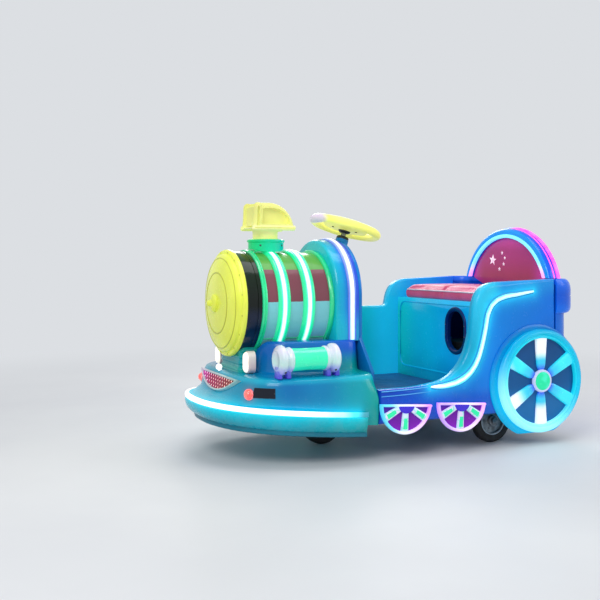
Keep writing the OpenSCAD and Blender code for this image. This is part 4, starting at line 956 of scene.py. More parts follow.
def nose_angles(row, n):
    """Plan angles from -90 to 90 degrees that space a row's points evenly."""
    dense = [-pi / 2 + pi * i / 3000 for i in range(3001)]
    pts = [Vector(nose_point(row[1], row[2], row[3], a)) for a in dense]
    run = [0.0]
    for a, b in zip(pts, pts[1:]):
        run.append(run[-1] + (b - a).length)
    out, k = [], 0
    for i in range(n + 1):
        s = run[-1] * i / n
        while k < 2999 and run[k + 1] < s:
            k += 1
        t = (s - run[k]) / max(run[k + 1] - run[k], 1e-12)
        out.append(dense[k] + (dense[k + 1] - dense[k]) * min(max(t, 0.0), 1.0))
    return out


def row_points(row, n=130):
    z, nose, half, e, r, drop = row
    corner = [(BODY_REAR_X + r - r * cos(a), half - r + r * sin(a))
              for a in angles(pi / 2, 8, 0, 7)]
    plan = [(x, -y) for x, y in corner] + [nose_point(nose, half, e, a) for a in nose_angles(row, n)]
    plan += corner[::-1]
    return [(x, y, z - drop * (nose - x) / (nose - BODY_REAR_X)) for x, y in plan]


def boiler_cutter(r):
    """A round cutter along the boiler's axis, longer than the body."""
    x0, x1 = 0.2, 1.2
    pts, faces = turned([(0.0, x0), (r, x0), (r, x1), (0.0, x1)], (0, 0, BOILER_Z), (1, 0, 0), 128)
    return mesh_object("cutter", pts, faces, weld=1e-6)


def cut(ob, cutter):
    """Takes the cutter out of ob, and removes the cutter."""
    modifier(ob, "BOOLEAN", operation="DIFFERENCE", object=cutter, solver="EXACT")
    applied(ob)
    mesh = cutter.data
    bpy.data.objects.remove(cutter)
    bpy.data.meshes.remove(mesh)
    smooth(ob, 35)


def front_body():
    keys = [0.0]
    for a, b in zip(ROWS[1:], ROWS[2:]):
        keys.append(keys[-1] + hypot(b[0] - a[0], 0.5 * (b[1] - a[1]), 0.5 * (b[2] - a[2])))
    rows = [ROWS[0]]
    for i in range(len(keys) - 1):
        steps = 6 if i in (1, 5) else 4
        for j in range(steps):
            x = keys[i] + (keys[i + 1] - keys[i]) * j / steps
            rows.append(tuple(eased(keys, [r[c] for r in ROWS[1:]], x) for c in range(6)))
    rows.append(ROWS[-1])
    rings = [row_points(r) for r in rows]
    ob = piece("front_shell", loft(rings, closed=False), M["body"], angle=40, replaces="front_body")
    modifier(ob, "SOLIDIFY", thickness=SHELL_T, offset=-1.0)
    cut(applied(ob), boiler_cutter(TROUGH_R))


BUMPER_IN = ROWS[1][1] - ROWS[0][1]


def bumper_ring(profile, a, f, dx, gap):
    z0, nose, half, e = ROWS[0][:4]
    ring = []
    for o, h in profile:
        face = BUMPER_IN * min(max(h / (LINE_Z - BODY_Z0 - BUMPER_DROP - BUMPER_LED_H), 0.0), 1.0)
        o = (face + f * (o - face) if o > face else o) + gap
        x, y = nose_point(nose + o + BUMPER_GAP, half + (0.6 * o if o > 0 else o) + BUMPER_GAP, e, a)
        x -= dx
        ring.append((x, y, z0 + h - BUMPER_DROP * (nose - x) / (nose - BODY_REAR_X)))
    return ring


def bumper_sweep(profile, gap=0.0, n=150):
    plan_angles = nose_angles(ROWS[0], n)[1:-1]
    tip = [pi / 2 * (1 - k / 8) for k in range(8)]
    rings = [bumper_ring(profile, pi / 2, max(cos(t), 0.05), BUMPER_END * (sin(t) - 1), gap) for t in tip]
    rings += [bumper_ring(profile, -a, 1.0, 0.0, gap) for a in plan_angles]
    rings += [bumper_ring(profile, -pi / 2, max(cos(t), 0.05), BUMPER_END * (sin(t) - 1), gap)
              for t in reversed(tip)]
    return loft(rings)


def bumper():
    line = LINE_Z - BODY_Z0 - BUMPER_DROP
    lip = line - BUMPER_H
    led_z = line - BUMPER_LED_H
    belly = mm(0, lip, (-10, 9), (26, 25), (48, 46), (57.5, 70)) + [(0.0575, led_z - 0.006)]
    soft = []
    for i in range(len(belly) - 1):
        p = [Vector(belly[min(max(i + k, 0), len(belly) - 1)]) for k in (-1, 0, 1, 2)]
        for j in range(5):
            t = j / 5
            soft.append(tuple(0.5 * ((2 * p[1]) + (p[2] - p[0]) * t
                                     + (2 * p[0] - 5 * p[1] + 4 * p[2] - p[3]) * t * t
                                     + (3 * p[1] - p[0] - 3 * p[2] + p[3]) * t ** 3)))
    profile = [(0.0, 0.0), (-0.040, -0.012), (-0.084, -0.024), (-0.090, lip), (-0.052, lip)] + soft
    profile += mm(0, led_z, (57.5, -6), (56.5, -2), (54, 0), (38, 0))
    profile += [(0.038, line - 0.001), (0.036, line), (BUMPER_IN, line)]
    piece("bumper_moulding", bumper_sweep(profile), M["bumper"], replaces="bumper")
    strip = [(0.0383, led_z + GAP), (0.052, led_z + GAP)]
    strip += [(0.052 + 0.0058 * sin(a), line - 0.012 - 0.0117 * cos(a))
              for a in angles(pi, 10, 1, 9)]
    strip += [(0.050, line), (0.0383, line)]
    piece("bumper_led", bumper_sweep(strip, BUMPER_GAP), M["bumper_led"], replaces="bumper_light")
    rub = mm(0, lip, (-60, -10), (-10, -10), (6, -5), (10, 4), (8, 16), (-4, 10), (-50, 1))
    piece("bumper_lip", bumper_sweep(rub), M["lip"])


def on_body(z, a, out):
    """A point on the body's side at a height and plan angle, with the outward direction."""
    i = max(k for k in range(len(ROWS) - 2) if z >= ROWS[k][0])
    t = (z - ROWS[i][0]) / (ROWS[i + 1][0] - ROWS[i][0])
    nose, half, e = (ROWS[i][c] + (ROWS[i + 1][c] - ROWS[i][c]) * t for c in (1, 2, 3))
    p = Vector(nose_point(nose, half, e, a))
    q = Vector(nose_point(nose, half, e, a + 0.02))
    t = (q - p).normalized()
    return Vector((p.x + out * t.y, p.y - out * t.x, z)), Vector((t.y, -t.x, 0.0))


def front_trim():
    parts, rims = [], []
    for side in (1, -1):
        p, n = on_body(SIGNAL_Z, side * radians(31), 0.003)
        parts.append(dome(p + n * 0.002, n, 0.023, 0.022, 32, 10, 0.15))
        rims.append(turned(mm(0, 0, (22.5, -4), (27.5, -4), (27.5, 4), (26.2, 6.8), (23.8, 7.4), (22.5, 5)),
                           p, n, 40))
    piece("signal_lenses", parts, M["signal"], replaces="signal_lamps")
    piece("signal_bezels", rims, M["bezel"])
    a0, a1 = radians(34.5), radians(52.5)
    front, back = [], []
    rows, cols, h = 8, 12, 0.024
    for i in range(rows + 1):
        z = LINE_Z + 0.062 + h * (2 * i / rows - 1)
        fr, bk = [], []
        for j in range(cols + 1):
            p, n = on_body(z, a0 + (a1 - a0) * j / cols, 0.0055)
            fr.append(tuple(p))
            bk.append(tuple(p - n * 0.006))
        front.append(fr)
        back.append(bk)
    pts, faces = loft(front, closed=False)
    pts2, faces2 = loft(back, closed=False)
    k = len(pts)
    faces += [tuple(k + v for v in f[::-1]) for f in faces2]
    w = cols + 1
    edge = [j for j in range(w)] + [i * w + cols for i in range(1, rows + 1)]
    edge += [rows * w + j for j in range(cols - 1, -1, -1)] + [i * w for i in range(rows - 1, 0, -1)]
    faces += [(edge[i], edge[(i + 1) % len(edge)], k + edge[(i + 1) % len(edge)], k + edge[i])
              for i in range(len(edge))]
    ob = piece("bare_plate", (pts + pts2, faces), M["plate"])
    modifier(ob, "BEVEL", width=0.002, segments=2, limit_method="ANGLE")
    screws = []
    for a in (a0 + 0.012, a1 - 0.012):
        p, n = on_body(LINE_Z + 0.062, a, 0.0055)
        screws.append(dome(p, n, 0.004, 0.002, 12, 3))
    piece("plate_screws", screws, M["screw"])
    knob = mm(0, 0, (0, -12), (10, -12), (10, -4), (16, -2), (17, 4))
    knob += [(0.0165 * cos(a), 0.005 + 0.0165 * sin(a)) for a in angles(pi / 2, 8)]
    knob[-1] = (0.0, knob[-1][1])
    piece("nose_knob", turned(knob, (0.900, 0, SHOULDER_Z + 0.012), (0.35, 0, 1), 28), M["knob"])


def nose_frame():
    """The sloping nose: its origin at the grille's top edge, down the slope, across, and out."""
    a, b = ROWS[2], ROWS[3]
    slope = atan2(b[0] - a[0], a[1] - b[1])
    top = 0.414
    origin = Vector((b[1] - (top - b[0]) / tan(slope) + GAP / sin(slope), 0, top))
    down = Vector((cos(slope), 0, -sin(slope)))
    out = Vector((sin(slope), 0, cos(slope)))
    return lambda u, v, w: tuple(origin + down * u + Vector((0, 1, 0)) * v + out * w)


def moon(depth, half, n=64):
    """Outline of the half-moon, from its right tip round to the left one."""
    r = (half * half + depth * depth) / (2 * depth)
    a = asin(half / r)
    return [(depth - r + r * cos(t), r * sin(t)) for t in (-a + 2 * a * i / n for i in range(n + 1))]


def grille():
    at = nose_frame()
    depth, half, rim = 0.088, 0.276, 0.012
    outer = moon(depth, half)
    outer += [(0.0, half * (1 - 2 * i / 40)) for i in range(1, 40)]
    section = mm(0, 0, (0, -18), (0, 6), (1.5, 9.5), (4.5, 11.5), (8, 11), (11, 8), (12, 3), (12, -18))

    def inner(p, d):
        """A point of the outline moved inwards by d, more at the pointed tips."""
        return (d + p[0] * (1 - 2 * d / depth), p[1] * (1 - 3 * d / half))
    rings = [[at(*inner(p, d), w) for d, w in section] for p in outer]
    pts, faces = loft(rings + [rings[0]], cap=False)
    piece("grille_frame", (pts, faces), M["grille_rim"], replaces="grille_rim", angle=50)
    field = [inner(p, 0.0115) for p in moon(depth, half)]
    pts = [at(u, v, 0.0012) for u, v in field] + [at(u, v, 0.0) for u, v in field]
    n = len(field)
    faces = [tuple(range(n)), tuple(range(2 * n - 1, n - 1, -1))]
    faces += [(i, n + i, n + (i + 1) % n, (i + 1) % n) for i in range(n)]
    piece("grille_backing", (pts, faces), M["grille_back"])
    # Lattice: crossed bars clipped to the field
    bars, pitch, width = [], 0.0235, 0.0068
    r = ((half - 3 * rim) ** 2 + (depth - 2 * rim) ** 2) / (2 * (depth - 2 * rim))

    def clip(p, q):
        """The part of a line in the field, or None."""
        keep = []
        for i in range(401):
            t = i / 400
            u, v = p[0] + (q[0] - p[0]) * t, p[1] + (q[1] - p[1]) * t
            uu = u - rim
            if uu >= 0 and (uu - (depth - 2 * rim - r)) ** 2 + v * v <= r * r:
                keep.append((u, v))
        return (keep[0], keep[-1]) if len(keep) > 3 else None
    for s in (1, -1):
        for k in range(-16, 17):
            mid = k * pitch * sqrt(2)
            got = clip((-0.1, mid - s * 0.1), (0.2, mid + s * 0.2))
            if not got:
                continue
            (u0, v0), (u1, v1) = got
            d = Vector((u1 - u0, v1 - v0)).normalized()
            side = Vector((-d.y, d.x)) * width / 2
            lift = 0.0012 if s > 0 else 0.0
            rings = []
            for u, v in ((u0, v0), (u1, v1)):
                rings.append([at(u - side.x, v - side.y, 0.0), at(u - side.x, v - side.y, 0.005 + lift),
                              at(u - 0.6 * side.x, v - 0.6 * side.y, 0.0066 + lift),
                              at(u + 0.6 * side.x, v + 0.6 * side.y, 0.0066 + lift),
                              at(u + side.x, v + side.y, 0.005 + lift), at(u + side.x, v + side.y, 0.0)])
            bars.append(loft(rings))
    piece("grille_bars", bars, M["lattice"], replaces="grille_lattice", angle=60)


def headlamps():
    r, h, length, y, x0 = 0.031, 0.112, 0.040, 0.206, DOOR_X - 0.055
    z = SHOULDER_Z + 0.75 * DECK_RISE + GAP + h / 2
    c = h / 2 - r
    n = 14

    def stadium(k):
        pts = [(cos(a) * (r - k), c + sin(a) * (r - k)) for a in angles(pi, n)]
        return pts + [(-u, -v) for u, v in pts]

    def body(rings):
        return loft([[(x0 + x, y + u, z + v) for u, v in stadium(k)] for k, x in rings])
    shells = body([(0.0, 0.0)] + mm(0, length, (0, -14), (0, -6), (2, -2), (4.5, -1)))
    lens = body(mm(0, length, (4.6, -4), (4.6, 0), (6, 5), (11, 10), (18, 13.5), (26, 15.5), (30.5, 16)))
    piece("headlamp_lenses", both(lens), M["lamp"], replaces="headlamps")
    piece("headlamp_cases", both(shells), M["lamp_case"])


def saddle():
    """The ribbed saddle between the deck and the smokebox."""
    x0, x1 = DOOR_X - 0.007 - 0.112, DOOR_X - 0.007
    z0, z1 = SHOULDER_Z + DECK_RISE - 0.004, BOILER_Z - 0.190
    rows, steps = [], 66
    for i in range(steps + 1):
        t = i / steps
        z = z0 + (z1 - z0) * t
        half = 0.134 + 0.030 * t + 0.016 * max(0.0, 1 - t * 5) ** 2
        rib = 0.0035 * max(0.0, cos(2 * pi * (t * 5 + 0.5))) ** 0.5
        y, x = half + rib, x1 + rib + 0.010 * max(0.0, 1 - t * 5) ** 2
        outline = rounded(oblong(x0, x, -y, y), 0.026, 6)
        rows.append([(x, y, z) for x, y in outline])
    ob = piece("saddle_ribbed", loft(rows), M["saddle"], replaces="front_saddle", angle=60)
    cut(ob, boiler_cutter(BOILER_R + 0.008))


# Boiler and chimney

def boiler():
    axis, centre = (1, 0, 0), (0, 0, BOILER_Z)
    x0 = HOOD_X1 - HOOD_T
    barrel = turned([(0.0, x0), (BOILER_R, x0), (BOILER_R, BOILER_X1), (0.0, BOILER_X1)], centre, axis,
                    BOILER_STEPS)
    piece("boiler_barrel", barrel, M["boiler"], replaces="boiler")
    r0 = BOILER_R - 0.001
    hoops = []
    # Front hoop with a groove round it
    x0, x1 = BOILER_X1 - FRONT_HOOP_W, BOILER_X1
    prof = [(r0, x0)]
    prof += mm(HOOP_R, x0, (-4, 0), (-1, 1), (0, 4), (0, 9), (-4, 11), (-4, 14), (0, 16))
    prof += mm(HOOP_R, x1, (0, -4), (-1, -1), (-4, 0))
    prof += [(r0, x1)]
    hoops.append(turned(prof, centre, axis, BOILER_STEPS))
    for k in range(2):
        x = HOOP_X - k * HOOP_PITCH
        a, b = x - HOOP_W / 2, x + HOOP_W / 2
        la, lb = x - HOOP_LED_W / 2, x + HOOP_LED_W / 2
        prof = [(r0, a), (BOILER_R + 0.006, a), (BOILER_R + 0.0085, a + 0.002)]
        prof += mm(HOOP_R, a, (-3.5, 4.5), (-0.8, 6.5), (0, 9))
        prof += mm(HOOP_R, la, (0, -2), (-1, 0), (-6, 0))
        prof += mm(HOOP_R, lb, (-6, 0), (-1, 0), (0, 2))
        prof += mm(HOOP_R, b, (0, -9), (-0.8, -6.5), (-3.5, -4.5))
        prof += [(BOILER_R + 0.0085, b - 0.002), (BOILER_R + 0.006, b), (r0, b)]
        hoops.append(turned(prof, centre, axis, BOILER_STEPS))
    x0 = HOOD_X1 + GAP
    hoops.append(turned([(r0, x0)] + mm(HOOP_R, x0, (-2, 0), (0, 3), (0, 16), (-4, 21))
                        + [(BOILER_R + 0.004, x0 + 0.022), (r0, x0 + 0.022)], centre, axis, BOILER_STEPS))
    piece("hoops_moulded", hoops, M["hoops"], replaces="boiler_hoops")
    strips = []
    for k in range(2):
        x = HOOP_X - k * HOOP_PITCH
        w = HOOP_LED_W / 2 - GAP
        prof = [(HOOP_R - 0.0057, x - w), (HOOP_R - 0.001, x - w)]
        prof += [(HOOP_R - 0.001 + 0.004 * sin(a), x - w * cos(a)) for a in angles(pi, 10, 1, 9)]
        prof += [(HOOP_R - 0.001, x + w), (HOOP_R - 0.0057, x + w)]
        strips.append(turned(prof, centre, axis, BOILER_STEPS))
    piece("hoop_strips", strips, M["hoop_led"], replaces="hoop_lights")
    # Thin frames round the barrel's panels
    frames = []
    low = degrees(asin((BOILER_Z - 0.604) / BOILER_R))
    edges = [(HOOP_X + HOOP_W / 2, BOILER_X1 - FRONT_HOOP_W),
             (HOOP_X - HOOP_PITCH + HOOP_W / 2, HOOP_X - HOOP_W / 2),
             (HOOD_X1 + 0.022, HOOP_X - HOOP_PITCH - HOOP_W / 2)]
    for a, b in edges:
        for side in (1, -1):
            ang = radians(-low) if side > 0 else radians(180 + low)
            rings = []
            for x in (a + 0.0005, b - 0.0005):
                ring = []
                for dr, da in ((-0.001, -0.012), (0.002, -0.012), (0.003, -0.009), (0.003, 0.009),
                               (0.002, 0.012), (-0.001, 0.012)):
                    t = ang + da + (0.010 if side < 0 else -0.010)
                    ring.append((x, (BOILER_R + dr) * cos(t), BOILER_Z + (BOILER_R + dr) * sin(t)))
                rings.append(ring)
            frames.append(loft(rings))
    piece("panel_frames", frames, M["frames"])


def smokebox():
    centre, axis = (0, 0, BOILER_Z), (1, 0, 0)
    r, x0 = BOILER_R + 0.006, BOILER_X1 + GAP
    prof = [(0.0, x0)]
    prof += mm(r, x0, (-1, 0), (0, 1), (0, 20), (-3, 22), (-3, 26), (0, 28))
    prof += [(r, DOOR_X - 0.012), (r - 0.004, DOOR_X), (0.0, DOOR_X)]
    piece("smokebox_band", turned(prof, centre, axis, BOILER_STEPS), M["smokebox"],
          replaces="smokebox_ring")
    x = DOOR_X + GAP
    dome_x = DOOR_X + 0.026
    prof = [(0.0, x)]
    prof += mm(HOOP_R, x, (-5, 0), (-1, 2), (0, 6), (0, 16), (-2, 21), (-7, 25.5), (-13, 26.2))
    prof += [(HOOP_R - 0.019, dome_x - 0.002), (HOOP_R - 0.022, dome_x + 0.003)]
    rr = HOOP_R - 0.022
    for k in range(1, 22):
        a = radians(78) * k / 21
        prof.append((rr * cos(a), dome_x + 0.003 + (DOOR_BULGE - 0.003) * sin(a) / sin(radians(78))))
    top = dome_x + DOOR_BULGE
    prof += mm(0, top, (46, 1), (46.5, 10), (45, 14), (40, 18), (30, 21), (18, 23), (16.5, 26), (16, 34),
               (13.5, 39), (8, 42.5), (0, 44))
    piece("door_dome", turned(prof, centre, axis, BOILER_STEPS), M["door"], replaces="smokebox_door",
          angle=50)
    # Two raised rings on the dome, and studs round the rim
    extra = []
    for a_deg, w in ((24, 0.0045), (52, 0.0035)):
        ring = []
        for k in range(9):
            t = pi * k / 8
            a = radians(a_deg) + w / rr * cos(t) * 1.6
            lift = 0.0032 * sin(t) - 0.0008
            px, pr = dome_x + 0.003 + (DOOR_BULGE - 0.003) * sin(a) / sin(radians(78)), rr * cos(a)
            n = Vector((cos(a), sin(a) * rr / DOOR_BULGE)).normalized()
            ring.append((pr + n.x * lift, px + n.y * lift))
        extra.append(turned(ring, centre, axis, BOILER_STEPS))
    for k in range(16):
        a = 2 * pi * (k + 0.5) / 16
        c = Vector((x + 0.0255, (HOOP_R - 0.0115) * cos(a), BOILER_Z + (HOOP_R - 0.0115) * sin(a)))
        extra.append(dome(c, (1, 0, 0), 0.0052, 0.0036, 16, 4))
    piece("door_rings", extra, M["door_trim"])


def chimney():
    z0 = BOILER_Z + BOILER_R - 0.024
    r = COLLAR_R
    prof = [(0.0, z0), (r, z0)]
    prof += mm(r, COLLAR_Z1, (0, -20), (2, -17.5), (5, -15), (6, -11), (5, -6), (1, -3), (-6, -1))
    prof += [(NECK_R + 0.004, COLLAR_Z1), (0.0, COLLAR_Z1)]
    ob = piece("collar_moulded", turned(prof, (CHIMNEY_X, 0, 0), (0, 0, 1), 96), M["collar"],
               replaces="chimney_collar", angle=50)
    cut(ob, boiler_cutter(TROUGH_R))
    screws = []
    for a in (50, 130, 230, 310):
        n = Vector((cos(radians(a)), sin(radians(a)), 0))
        screws.append(dome(Vector((CHIMNEY_X, 0, COLLAR_Z1 - 0.034)) + n * r, n, 0.0055, 0.003, 14, 4))
    piece("collar_screws", screws, M["screw"])
    x0, x1, z0, z1 = CHIMNEY_X - 0.134, CHIMNEY_X + 0.098, CAP_Z0, CAP_Z1

    def crowned(points, half, r, steps=7):
        """A closed side view set across the car, its two edges rounded by r towards its middle."""
        spans = [(min(c), max(c)) for c in zip(*points)]
        mid, size = [(b + a) / 2 for a, b in spans], [(b - a) / 2 for a, b in spans]
        rings = []
        for k in range(-steps, steps + 1):
            a = pi / 2 * (1 - abs(k) / steps)
            d, y = r * (1 - cos(a)), copysign(half - r + r * sin(a), k)
            rings.append((d, y))
        rings = rings[:steps] + rings[steps + 1:]
        return loft([[(mid[0] + (u - mid[0]) * (1 - d / size[0]), y,
                       mid[1] + (v - mid[1]) * (1 - d / size[1])) for u, v in points]
                     for d, y in rings])
    crown = [(x0 + 0.003, z0 + 0.004)]
    crown += curve((x0 + 0.002, z0 + 0.022), (x0 + 0.012, z1 - 0.066), (x0 + 0.062, z1 - 0.001),
                   (x0 + 0.140, z1 - 0.001), 28)
    crown += curve((x0 + 0.140, z1 - 0.001), (x0 + 0.170, z1 - 0.001), (x1 - 0.040, z1 - 0.001),
                   (x1 - 0.030, z1 - 0.003), 6)
    crown += [(x1 - 0.020, z1 - 0.010), (x1 - 0.016, z0 + 0.060), (x1 - 0.012, z0 + 0.004)]
    flank = crowned(crown, CAP_Y - 0.006, 0.034, 9)
    front = curve((x1 - 0.048, z1 - 0.030), (x1 - 0.046, z1 - 0.004), (x1 - 0.036, z1), (x1 - 0.022, z1), 8)
    front += curve((x1 - 0.022, z1), (x1 - 0.008, z1 - 0.001), (x1 - 0.001, z1 - 0.010), (x1, z1 - 0.028),
                   8)
    front += curve((x1, z1 - 0.028), (x1 + 0.001, z0 + 0.070), (x1 + 0.002, z0 + 0.040),
                   (x1 + 0.008, z0 + 0.016), 8)
    front += [(x1 + 0.010, z0 + 0.006), (x1 - 0.040, z0 + 0.004)]
    front = crowned(front, CAP_Y - 0.001, 0.024, 9)
    lip = rounded([(x1 + 0.014, z0 - 0.001), (x0 - 0.001, z0 - 0.001), (x0 - 0.001, z0 + 0.026),
                   (x1 + 0.010, z0 + 0.026)], 0.012, 6)
    lip = crowned(lip, CAP_Y + 0.001, 0.0125, 8)
    neck = [(0.0, COLLAR_Z1 - 0.004)] + mm(NECK_R, COLLAR_Z1, (3, -4), (3, 2), (0, 5))
    neck += mm(NECK_R, z0, (0, -12), (3, -5), (10, 1)) + [(0.0, z0 + 0.001)]
    piece("cap_moulded", [flank, lip, turned(neck, (CHIMNEY_X + 0.004, 0, 0), (0, 0, 1), 72)], M["cap"],
          replaces="chimney_cap", angle=50)
    ob = piece("cap_front", front, M["cap"], angle=50)
    # The front opening is a shallow scoop
    pts, faces = turned(mm(0, z0, (0, 26), (50, 26), (62, 34), (66, 50))
                        + mm(0, z1, (66, -34), (60, -18), (48, -12), (0, -12)), (0, 0, 0), (0, 0, 1), 72)
    scaled = [(x1 + 0.022 + 0.62 * p[0], 1.12 * p[1], p[2]) for p in pts]
    cut(ob, mesh_object("cutter", scaled, faces, weld=1e-6))


# Hood and cylinders

def hood_row(x, r, zc, closing, n=14, m=96):
    legs = [PEDESTAL_Z - 0.006 + (zc - PEDESTAL_Z + 0.006) * i / n for i in range(n)]
    legs = [(x, sqrt(r * r - (zc - z) ** 2) if closing else r, z) for z in legs]
    arc = [(x, r * cos(a), zc + r * sin(a)) for a in angles(pi, m)]
    return legs + arc + [(p[0], -p[1], p[2]) for p in reversed(legs)]


def hood():
    h, c = HOOD_Y, HOOD_Z
    stations = [(BODY_REAR_X + 0.001, h), (0.300, h), (HOOD_X1 - 0.030, h)]
    stations += [(HOOD_X1 - 0.030 + 0.026 * sin(a), h - 0.016 * (1 - cos(a))) for a in angles(pi / 2, 6, 1)]
    rings = [hood_row(x, r, c, False) for x, r in stations]
    a, b = rings[-1], hood_row(HOOD_X1, BOILER_R + GAP, BOILER_Z, True)
    for t in (0.35, 0.7, 1.0):
        bulge = 0.004 * (1 - (1 - t) ** 2)
        rings.append([(p[0] + bulge, p[1] + (q[1] - p[1]) * t, p[2] + (q[2] - p[2]) * t)
                      for p, q in zip(a, b)])
    ob = piece("hood_moulded", loft(rings, closed=False), M["hood"], replaces="hood", angle=40)
    modifier(ob, "SOLIDIFY", thickness=HOOD_T - 0.001, offset=-1.0)
    applied(ob)
    smooth(ob, 40)

    def arch(profile):
        rings = []
        for o, x in profile:
            r = h + o
            row = [(x, r, PEDESTAL_Z + GAP + (c - PEDESTAL_Z) * i / 10) for i in range(10)]
            row += [(x, r * cos(t), c + r * sin(t)) for t in angles(pi, 96)]
            row += [(x, -r, PEDESTAL_Z + GAP + (c - PEDESTAL_Z) * i / 10) for i in range(9, -1, -1)]
            rings.append(row)
        return loft(list(zip(*rings)))
    w = HOOD_LED_W / 2
    x = HOOD_LED_X
    core = [(0.0005, x - w + 0.008), (0.004, x - w + 0.008)]
    core += [(0.004 + 0.0058 * sin(t), x - (w - 0.008) * cos(t)) for t in angles(pi, 10, 1, 9)]
    core += [(0.004, x + w - 0.008), (0.0005, x + w - 0.008)]
    piece("hood_strip", arch(core), M["hood_led"], replaces="hood_light")
    rails = []
    for s in (-1, 1):
        e, f = x + s * (w - 0.0078), x + s * w
        rails.append(arch([(0.0003, e), (0.0055, e), (0.0065, e + s * 0.001), (0.0065, f - s * 0.003),
                           (0.005, f - s * 0.0008), (0.0003, f)]))
    piece("hood_strip_rails", rails, M["hood_rail"])


def cylinders():
    z = SHOULDER_Z + FLANGE_R + 0.014
    tube_prof = [(0.0, FLANGE_L - 0.002), (CYL_R, FLANGE_L - 0.002)]
    n = 24
    for i in range(n + 1):
        t = i / n
        tube_prof.append((CYL_R - 0.0025 * sin(pi * t), FLANGE_L + (CYL_L - 2 * FLANGE_L) * t))
    tube_prof += [(CYL_R, CYL_L - FLANGE_L + 0.002), (0.0, CYL_L - FLANGE_L + 0.002)]
    centre = (CYL_X0, CYL_Y, z)
    piece("cylinder_barrels", both(turned(tube_prof, centre, (1, 0, 0), 72)), M["tube"],
          replaces="cylinder_tubes")
    r, L = FLANGE_R, FLANGE_L
    raw = [(0.0, 0.004)]
    raw += mm(r, 0, (-30, 4), (-26, 0), (-19, 1), (-14, 6), (-6, 9), (-1, 14), (0, 19), (0, 32), (-2, 37),
              (-8, 41), (-15, 44), (-18, 49), (-17, 55), (-13, 60), (-10.5, 66), (-10.5, 71), (-13, 75.5))
    raw += [(r - 0.0165, L), (0.0, L)]
    parts = []
    for k in (0, 1):
        prof = [(p, h if k == 0 else CYL_L - h) for p, h in raw]
        parts += both(turned(prof, centre, (1, 0, 0), 72))
    piece("cylinder_ends", parts, M["flange"], replaces="cylinder_flanges", angle=50)
    feet, screws = [], []
    for k in (0, 1):
        for dx in (0.011, 0.058):
            x = CYL_X0 + (dx if k == 0 else CYL_L - dx)
            foot = slab(rounded([(CYL_Y - 0.022, SHOULDER_Z - 0.001), (CYL_Y + 0.030, SHOULDER_Z - 0.001),
                                 (CYL_Y + 0.024, z - 0.030),
                                 (CYL_Y - 0.016, z - 0.030)], 0.006, 3), "X", x - 0.010, x + 0.010, 0.003)
            feet += both(foot)
        x = CYL_X0 + (0.030 if k == 0 else CYL_L - 0.030)
        c = Vector((x, CYL_Y + 0.66 * r, z - 0.751 * r))
        screws += both(dome(c, (0, 0.66, -0.75), 0.0065, 0.004, 16, 4))
    piece("cylinder_feet", feet, M["foot"])
    piece("cylinder_screws", screws, M["screw"])


# Steering

STEER_BASE = Matrix.Translation((STEER_X, 0, STEER_Z)) @ Matrix.Rotation(-STEER_TILT, 4, "Y")


def put(part):
    """A part made round the origin, on the tilted steering shaft."""
    return [tuple(STEER_BASE @ Vector(p)) for p in part[0]], part[1]


def steering():
    steps = 96
    rings = []
    for i in range(steps):
        a = 2 * pi * i / steps
        thick = STEER_RIM * (1.16 + 0.14 * max(0.0, cos(a)) ** 8 + 0.06 * cos(3 * a) ** 2)
        ring = []
        for j in range(16):
            b = 2 * pi * j / 16
            flat = 0.92 if cos(b) < 0 else 1.0
            ring.append(((STEER_R + thick * flat * cos(b)) * cos(a),
                         (STEER_R + thick * flat * cos(b)) * sin(a),
                         0.92 * thick * sin(b)))
        rings.append(ring)
    parts = [put(loft(rings, around=True))]
    hub = mm(0, 0, (0, -18), (66, -18), (82, -14), (100, -11), (120, -8), (124, -4), (124, 2), (120, 6),
             (100, 9), (84, 15), (76, 24), (71, 32), (63, 38), (50, 40.5), (0, 41))
    parts.append(put(turned(hub, (0, 0, 0), (0, 0, 1), 64)))
    for k in range(3):
        turn = Matrix.Rotation(2 * pi * k / 3, 4, "Z")
        rows = []
        for i in range(13):
            t = i / 12
            r = 0.040 + (STEER_R - 0.004 - 0.040) * t
            w = 0.040 - 0.006 * sin(pi * min(t * 1.1, 1.0)) + 0.004 * t
            zc = 0.004 - 0.004 * t
            h = 0.0105 - 0.003 * sin(pi * t)
            section = rounded(oblong(-w, w, -h, h), 0.006, 3)
            rows.append([tuple(turn @ Vector((r, u, zc + v))) for u, v in section])
        parts.append(put(loft(rows)))
    piece("wheel_moulded", parts, M["wheel"], body="steering", replaces="steering_wheel", angle=50)
    pad = mm(0, 0, (0, 40), (50, 40), (50.5, 42.5), (48, 44.5), (40, 46), (0, 47))
    piece("wheel_pad", put(turned(pad, (0, 0, 0), (0, 0, 1), 56)), M["wheel_pad"], body="steering")
    parts = [put(turned(mm(0, 0, (0, -30), (24, -30), (31, -26), (35, -17.5), (0, -17.5)), (0, 0, 0),
                        (0, 0, 1), 40))]
    for k in range(3):
        turn = Matrix.Rotation(2 * pi * k / 3, 4, "Z")
        bar = loft([[tuple(turn @ Vector((r, u, z))) for u, z in ((-w, -0.0175), (w, -0.0175), (w, -0.006),
                                                                  (-w, -0.006))]
                    for r, w in ((0.030, 0.010), (0.060, 0.008), (0.080, 0.006))])
        parts.append(put(bar))
        parts.append(put(dome(turn @ Vector((0.060, 0, 0.0365)), (0, 0, 1), 0.0038, 0.0032, 12, 3)))
    piece("wheel_bracket", parts, M["black"], body="steering")


# Rear body

